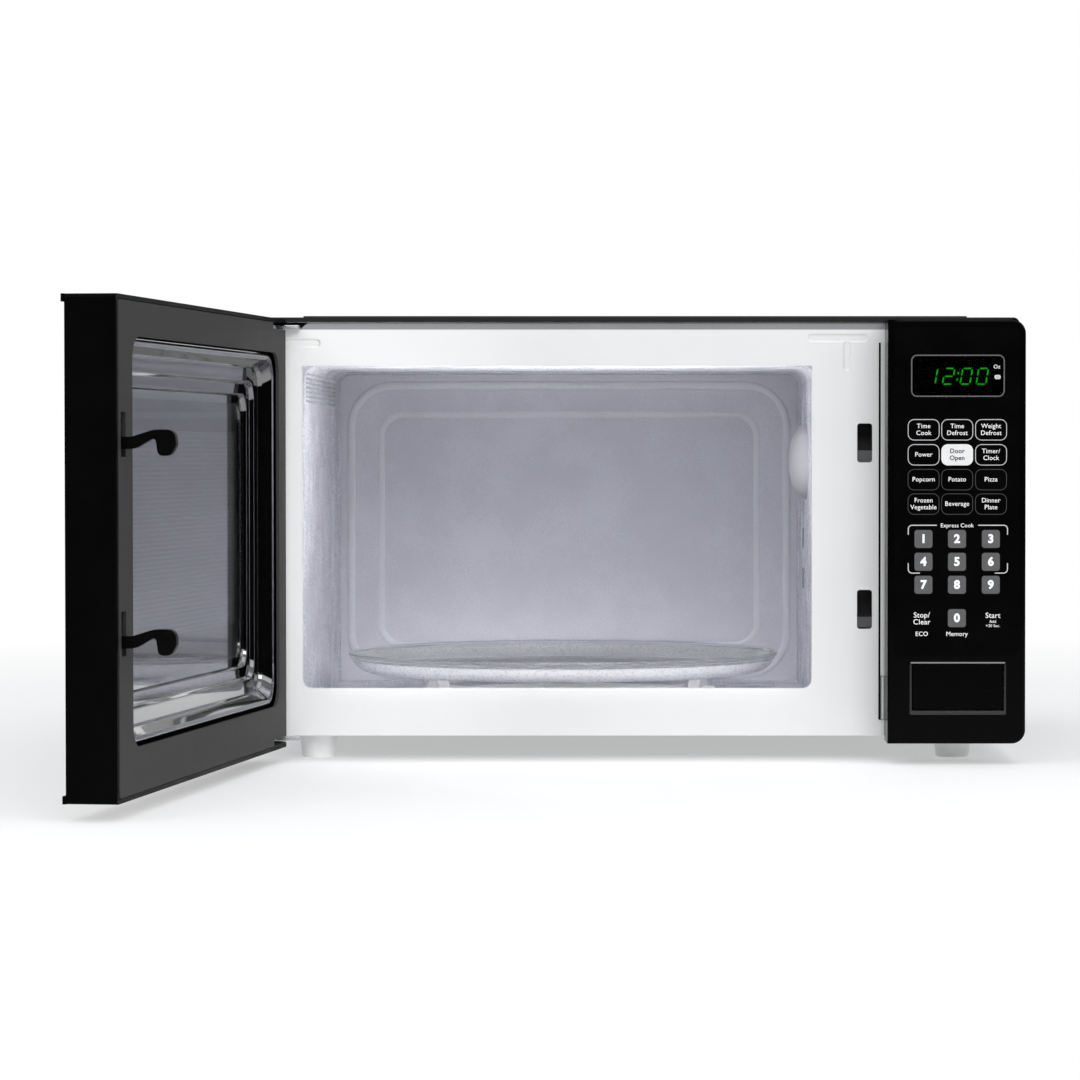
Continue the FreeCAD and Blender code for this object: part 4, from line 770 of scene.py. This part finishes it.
def make_tray():
    """The tray as a lathed glass: a flat floor, a pebbled skirt and a smooth, clear rolled rim."""
    low, high, reach = TRAY_LOW.z, TRAY_HIGH.z, (TRAY_HIGH.x - TRAY_LOW.x) / 2
    middle = (TRAY_LOW + TRAY_HIGH) / 2
    flat = reach - SKIRT_WIDTH
    curve = [(flat + 2, low + 0.3), (flat + 8, low + 1.2), (flat + 12, low + 2.8), (flat + 15, low + 5),
             (flat + 17, low + 7.6), (flat + 18, low + 9.4)]
    skirt = [point_along(curve, n / (SKIRT_RINGS - 1)) for n in range(SKIRT_RINGS)]
    rim = [(flat + 18.8, low + 10), (flat + 19.2, low + 11.8), (reach - 0.4, low + 12.2),
           (reach, high - 1.6), (reach - 0.2, high - 0.6), (reach - 1.2, high), (reach - 2.6, high - 0.1),
           (reach - 3.4, high - 0.8)]
    inside = [(flat + 13.6, low + 12), (flat + 11.2, low + 9.2), (flat + 7.6, low + 6.8), (flat + 3, low + 5),
              (flat - 3, low + 4.1)]
    profile = [(flat - 2, low), *skirt, *rim, *inside]
    rings = []
    bm = bmesh.new()
    for index, (radius, z) in enumerate(profile):
        ring = []
        for n in range(TRAY_STEPS):
            turn = 2 * math.pi * n / TRAY_STEPS
            spot = Vector((radius * math.cos(turn), radius * math.sin(turn), z))
            pebbled = 2 <= index < SKIRT_RINGS
            out = radius + (PEBBLE * noise.noise(spot / PEBBLE_PITCH) if pebbled else 0)
            ring.append(bm.verts.new((middle.x + out * math.cos(turn), middle.y + out * math.sin(turn), z)))
        rings.append(ring)
    for index, (first, second) in enumerate(zip(rings, rings[1:])):
        for n in range(TRAY_STEPS):
            m = (n + 1) % TRAY_STEPS
            face = bm.faces.new((first[n], first[m], second[m], second[n]))
            face.material_index = 1 if 1 <= index <= SKIRT_RINGS else 0
    bm.faces.new(rings[0])
    bm.faces.new(rings[-1])
    piece = add_piece("glass_tray_lathed", bm, "tray", "tray_glass")
    piece.data.materials.append(FINISHES["tray_frost"])
    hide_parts("glass_tray")
    smooth(piece, 50)


# --- cavity back ----------------------------------------------------------------------------------

# Ridges, painted lighter than the wall as a painted highlight along the pan's edges: half width, how far they
# stand out and steps across; then for each its insets from the sides, the floor and the top of the wall, its
# corner radius, and how far back it lies.
BEAD_HALF, BEAD_PROUD, BEAD_STEPS, BEAD_SUNK = 3.2, 1.3, 8, 0.3
OUTER_BEAD = (8, 4, 8, 32, 0)
INNER_BEAD = (30, 26, 30, 17, 7)
CORNER_FILL = 6
# Dark patches painted as the shade in two slots on the right-hand wall: its X, their height, length and depth
# into the cavity, and floors.
CAVITY_WALL = 121.4
SLOT_HIGH, SLOT_LONG, SLOT_BACK = 14.8, 12, 234
SLOT_LOWS = (106.4, 135.6)


def add_bead(bm, left, low, width, height, radius, wall):
    """A rounded ridge along a rounded rectangle, standing out of an upright wall."""
    rings = []
    for step in range(BEAD_STEPS + 1):
        turn = math.radians(180 * step / BEAD_STEPS)
        inset = -BEAD_HALF * math.cos(turn)
        loop = rounded_loop(left + inset, low + inset, width - 2 * inset, height - 2 * inset,
                            radius - inset, 12)
        rings.append(add_ring(bm, loop, wall + BEAD_SUNK - BEAD_PROUD * math.sin(turn)))
    skin_loops(bm, rings, closed=True)


def make_cavity_back():
    """The pressed back wall, with its ridges and corner fills, and dark patches painted as the shade in the
    side wall's slots.
    """
    refined("cavity_back", "cavity_enamel", 2.0, 4, 15)
    low, high = node_box("cavity_back")
    wall = low.y
    left, floor = low.x + 1, low.z + 1
    width, height = high.x - low.x - 2, high.z - low.z - 2
    corners = bmesh.new()
    for edge in (low.x, high.x - CORNER_FILL):
        add_block(corners, (edge, edge + CORNER_FILL), (wall + 0.5, wall + 2), (low.z, low.z + CORNER_FILL))
    add_piece("cavity_corner_fill", corners, "case", "cavity_enamel")
    # Painted shade: dark patches on the side wall where its slots show dark.
    painted_slot_shade = bmesh.new()
    for slot_low in SLOT_LOWS:
        add_block(painted_slot_shade, (CAVITY_WALL - 0.25, CAVITY_WALL + 0.2),
                  (FACE + SLOT_BACK, FACE + SLOT_BACK + SLOT_LONG), (slot_low, slot_low + SLOT_HIGH))
    add_piece("cavity_wall_painted_slot_shade", painted_slot_shade, "case", "switch_plastic")
    # Painted highlight: the ridges take a lighter enamel than the wall around them.
    for name, (side, foot, top, radius, back) in (("cavity_bead_outer", OUTER_BEAD),
                                                  ("cavity_bead_inner", INNER_BEAD)):
        bm = bmesh.new()
        add_bead(bm, left + side, floor + foot, width - 2 * side, height - foot - top, radius, wall + back)
        smooth(add_piece(name, bm, "case", "ridge_painted_highlight"), 60)


# --- frame and panel details ----------------------------------------------------------------------

# Pressed grooves, each as left, low, width, height and corner radius.
GROOVES = ((-250, 274.2, 41.6, 7.4, 3.4), (114, 277.8, 41.6, 7.2, 3.2), (137.6, 258.6, 6.4, 22, 3.1))
GROOVE_DEEP, GROOVE_TAPER, CUTTER_PROUD = 0.75, 1.9, 0.4
# The mouth's upper corners are square: its edges, and the side of the square that is cut out.
MOUTH_LEFT, MOUTH_RIGHT, MOUTH_TOP, CORNER_CUT = -221.6, 117.6, 263, 5.5
# The step above the frame, painted grey as the shade under the wrapper's hem, and the black wedge at its
# hinge end, with their depths behind FACE.
STEP_LEFT, STEP_RIGHT, STEP_LOW, STEP_TOP = -249, 166, 287.1, 291.7
STEP_FRONT, STEP_BACK, BLACK_WEDGE_FRONT, BLACK_WEDGE_BACK = 2.75, 2.95, 2.4, 2.7
BLACK_WEDGE = ((-248.5, 287.2), (-223, 287.2), (-217.6, 291.7), (-248.5, 291.7))


def make_frame():
    """The white front frame with its pressed grooves, and the step above it, painted grey as the shade under
    the wrapper's hem.
    """
    piece = refined("front_frame", "white_enamel")
    for groove in GROOVES:
        cutters = bmesh.new()
        add_tapered(cutters, *groove, FACE - CUTTER_PROUD, FACE + GROOVE_DEEP, GROOVE_TAPER)
        carve(piece, cutters)
    for left in (MOUTH_LEFT, MOUTH_RIGHT - CORNER_CUT):
        cutters = bmesh.new()
        add_block(cutters, (left, left + CORNER_CUT), (FACE - 1, FACE + 9),
                  (MOUTH_TOP - CORNER_CUT, MOUTH_TOP))
        carve(piece, cutters)
    piece.data.shade_flat()
    # Painted shade: a grey strip over the step's riser, where the wrapper's hem shades it.
    band = bmesh.new()
    add_block(band, (STEP_LEFT, STEP_RIGHT), (FACE + STEP_FRONT, FACE + STEP_BACK), (STEP_LOW, STEP_TOP))
    add_piece("frame_step_painted_shade", band, "case", "painted_shade_grey")
    # A flat black wedge laid over the hinge end of the grey step strip.
    black_wedge = bmesh.new()
    add_plate(black_wedge, BLACK_WEDGE, BLACK_WEDGE, FACE + BLACK_WEDGE_FRONT, FACE + BLACK_WEDGE_BACK)
    add_piece("hinge_corner_black_wedge", black_wedge, "case", "black_plastic")


# The seam beside the control panel: Z of its top and foot, of the white strip's two runs, and of the catch.
SEAM_TOP, SEAM_FOOT = 278.3, 27.4
WHITE_STRIP_FOOT, STUB_FOOT, STUB_TOP = 56.9, 17.6, 26.8
SHADOW_GAP_X, WHITE_STRIP_X, STUB_X = (162, 163.3), (163.4, 165.2), (163.4, 165.7)
CATCH = (163.4, 27.2, 2.4, 29.4, 0.3, 0.35)


def make_panel_edge():
    """The seam beside the control panel: a black strip painted as the shadow in the gap, a white strip and a
    small catch cover.
    """
    front, back = FACE - 0.5, FACE - 0.05
    gap, white_strip, catch = bmesh.new(), bmesh.new(), bmesh.new()
    # Painted shadow: a black strip for the shade in the gap beside the panel.
    add_block(gap, SHADOW_GAP_X, (front, back), (SEAM_FOOT, SEAM_TOP))
    add_block(white_strip, WHITE_STRIP_X, (front, back), (WHITE_STRIP_FOOT, SEAM_TOP))
    add_block(white_strip, STUB_X, (front, back), (STUB_FOOT, STUB_TOP))
    add_band(catch, *CATCH, front - 0.2, front + 0.2)
    add_piece("panel_seam_painted_shadow", gap, "case", "black_plastic")
    add_piece("panel_seam_white_strip", white_strip, "case", "white_enamel")
    add_piece("panel_seam_catch", catch, "case", "frame_ink")


def make_button_spring():
    """The spring behind the release button, with a mesh of its own."""
    piece = refined("button_spring", "spring_steel")
    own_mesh(piece)


MASK_INSET, MASK_T = 0.3, 0.4


def make_display_mask():
    """The black plate behind the lens, open where the figures show."""
    low, high = node_box("led_display")
    front = LENS_HIGH.y + 0.2
    outer, inner = (rounded_loop(near.x + MASK_INSET, near.z + MASK_INSET, far.x - near.x - 2 * MASK_INSET,
                                 far.z - near.z - 2 * MASK_INSET, 1)
                    for near, far in ((LENS_LOW, LENS_HIGH), (low, high)))
    bm = bmesh.new()
    add_hoop(bm, outer, inner, front, front + MASK_T)
    add_piece("display_mask", bm, "case", "led_block")


LIP_OUTLINE = (180.4, 33.0, 63.4, 34.9, 1.2)
LIP_GAP = 0.5


def make_button_bezel():
    """The raised lip round the door release button."""
    bm = bmesh.new()
    outer = rounded_loop(*LIP_OUTLINE)
    inner = rounded_loop(BUTTON_LOW.x - LIP_GAP, BUTTON_LOW.z - LIP_GAP,
                         BUTTON_HIGH.x - BUTTON_LOW.x + 2 * LIP_GAP,
                         BUTTON_HIGH.z - BUTTON_LOW.z + 2 * LIP_GAP, 0.8)
    rings = [add_ring(bm, outline, PANEL_FACE + depth)
             for outline, depth in ((outer, 0.3), (outer, -0.5), (inner, -0.9), (inner, 0.3))]
    skin_loops(bm, rings, closed=True)
    piece = add_piece("button_bezel", bm, "case", "lip_plastic")
    round_edges(piece, 0.2, 2, 30)


# --- floor ----------------------------------------------------------------------------------------

# The floor's radius in metres, the white page's share in its middle, and where that share starts to grow.
FLOOR_RAD, FLOOR_GLOW, FADE_START = 1.6, 0.35, 0.35


def floor_material():
    """Pale paper that fades, with distance from the oven, into a page as white as the background."""
    mat = finish_material("floor", (0.93, 0.93, 0.93), 0.7, 0.01, 900, 0.05, 0.05, 5.0)
    tree = mat.node_tree
    coords = tree.nodes.new("ShaderNodeTexCoord").outputs["Object"]
    length = tree.nodes.new("ShaderNodeVectorMath")
    length.operation = "LENGTH"
    tree.links.new(coords, length.inputs[0])
    page = tree.nodes.new("ShaderNodeEmission")
    mix = tree.nodes.new("ShaderNodeMixShader")
    fade = ranged(tree, length.outputs["Value"], FLOOR_GLOW, 1.0, FADE_START, FLOOR_RAD - 0.1)
    tree.links.new(fade, mix.inputs["Fac"])
    tree.links.new(tree.nodes["Principled BSDF"].outputs[0], mix.inputs[1])
    tree.links.new(page.outputs[0], mix.inputs[2])
    tree.links.new(mix.outputs[0], tree.nodes["Material Output"].inputs["Surface"])
    return mat


def make_floor():
    bm = bmesh.new()
    bmesh.ops.create_circle(bm, cap_ends=True, segments=96, radius=FLOOR_RAD)
    mesh = bpy.data.meshes.new("floor")
    bm.to_mesh(mesh)
    bm.free()
    mesh.materials.append(floor_material())
    floor = bpy.data.objects.new("floor", mesh)
    bpy.context.scene.collection.objects.link(floor)


# --- the run --------------------------------------------------------------------------------------

make_camera()
make_world()
make_lights()
FINISHES = make_finishes()

refined("outer_wrapper", "black_enamel", 0.35)
refined("base_plate", "rear_steel", 0.2)
refined("motor_access_cover", "rear_steel", 0.2)
refined("feet", "foot_plastic", 0.8)
refined("rear_panel", "rear_steel", 0.25)
refined("cord_inlet_bushing", "black_plastic", 0.5)
refined("rear_spacers", "black_plastic", 0.8)
make_frame()
make_panel_edge()
make_button_bezel()
make_display_mask()
refined("cavity_wrap", "cavity_enamel", 0.25)
refined("cavity_floor", "cavity_enamel", 0.5)
make_cavity_back()
refined("waveguide_cover", "cover_mica")
make_tray()
refined("roller_ring", "ring_plastic", 0.4)
for number in (1, 2, 3):
    refined(f"tray_roller_{number}", "ring_plastic", 0.4)
refined("drive_coupler", "coupler_plastic", 0.3)
refined("door_shell", "black_plastic", 0.7, 3)
refined("door_window_pane", "door_glass", 0.4)
make_recess()
make_screen()
make_film()
refined("door_choke_cover", "cover_plastic", 0.8, 3)
refined("latch_hooks", "hook_plastic", 0.6, 3)
refined("hinge_pins", "zinc_steel", 0.4)
refined("hinge_plate_upper", "zinc_steel", 0.4)
refined("hinge_plate_lower", "zinc_steel", 0.4)
refined("panel_housing", "panel_plastic", 0.5, 3)
refined("keypad_overlay", "overlay_film", 0.1)
refined("display_window", "display_lens", 0.2)
refined("led_display", "led_block", 0.3)
refined("release_button", "button_plastic", 1.4, 4)
refined("casing_screws", "screw_steel", 0.5)
make_button_spring()
PLAIN = {
    "waveguide": "rear_steel", "turntable_motor": "zinc_steel", "latch_spring": "spring_steel",
    "latch_body": "switch_plastic", "interlock_switches": "switch_plastic", "release_lever": "switch_plastic",
    "control_board": "board_green", "button_bracket": "zinc_steel",
    "magnetron_yoke": "zinc_steel", "magnetron_anode": "fin_aluminium", "magnetron_magnets": "ferrite",
    "magnetron_filter_box": "zinc_steel", "transformer_core": "core_steel",
    "transformer_windings": "winding_copper", "hv_capacitor": "fin_aluminium",
    "capacitor_clamp": "zinc_steel", "hv_diode": "switch_plastic",
    "mains_filter_board": "board_green", "thermal_cutouts": "switch_plastic",
    "lamp_holder": "switch_plastic", "cavity_lamp": "lamp_glass", "fan_shroud": "rear_steel",
    "fan_motor": "core_steel", "fan_blade": "fan_plastic",
}
for name, finish in PLAIN.items():
    NODES[name].data.materials.clear()
    NODES[name].data.materials.append(FINISHES[finish])

print_panel()
light_digits()
make_floor()
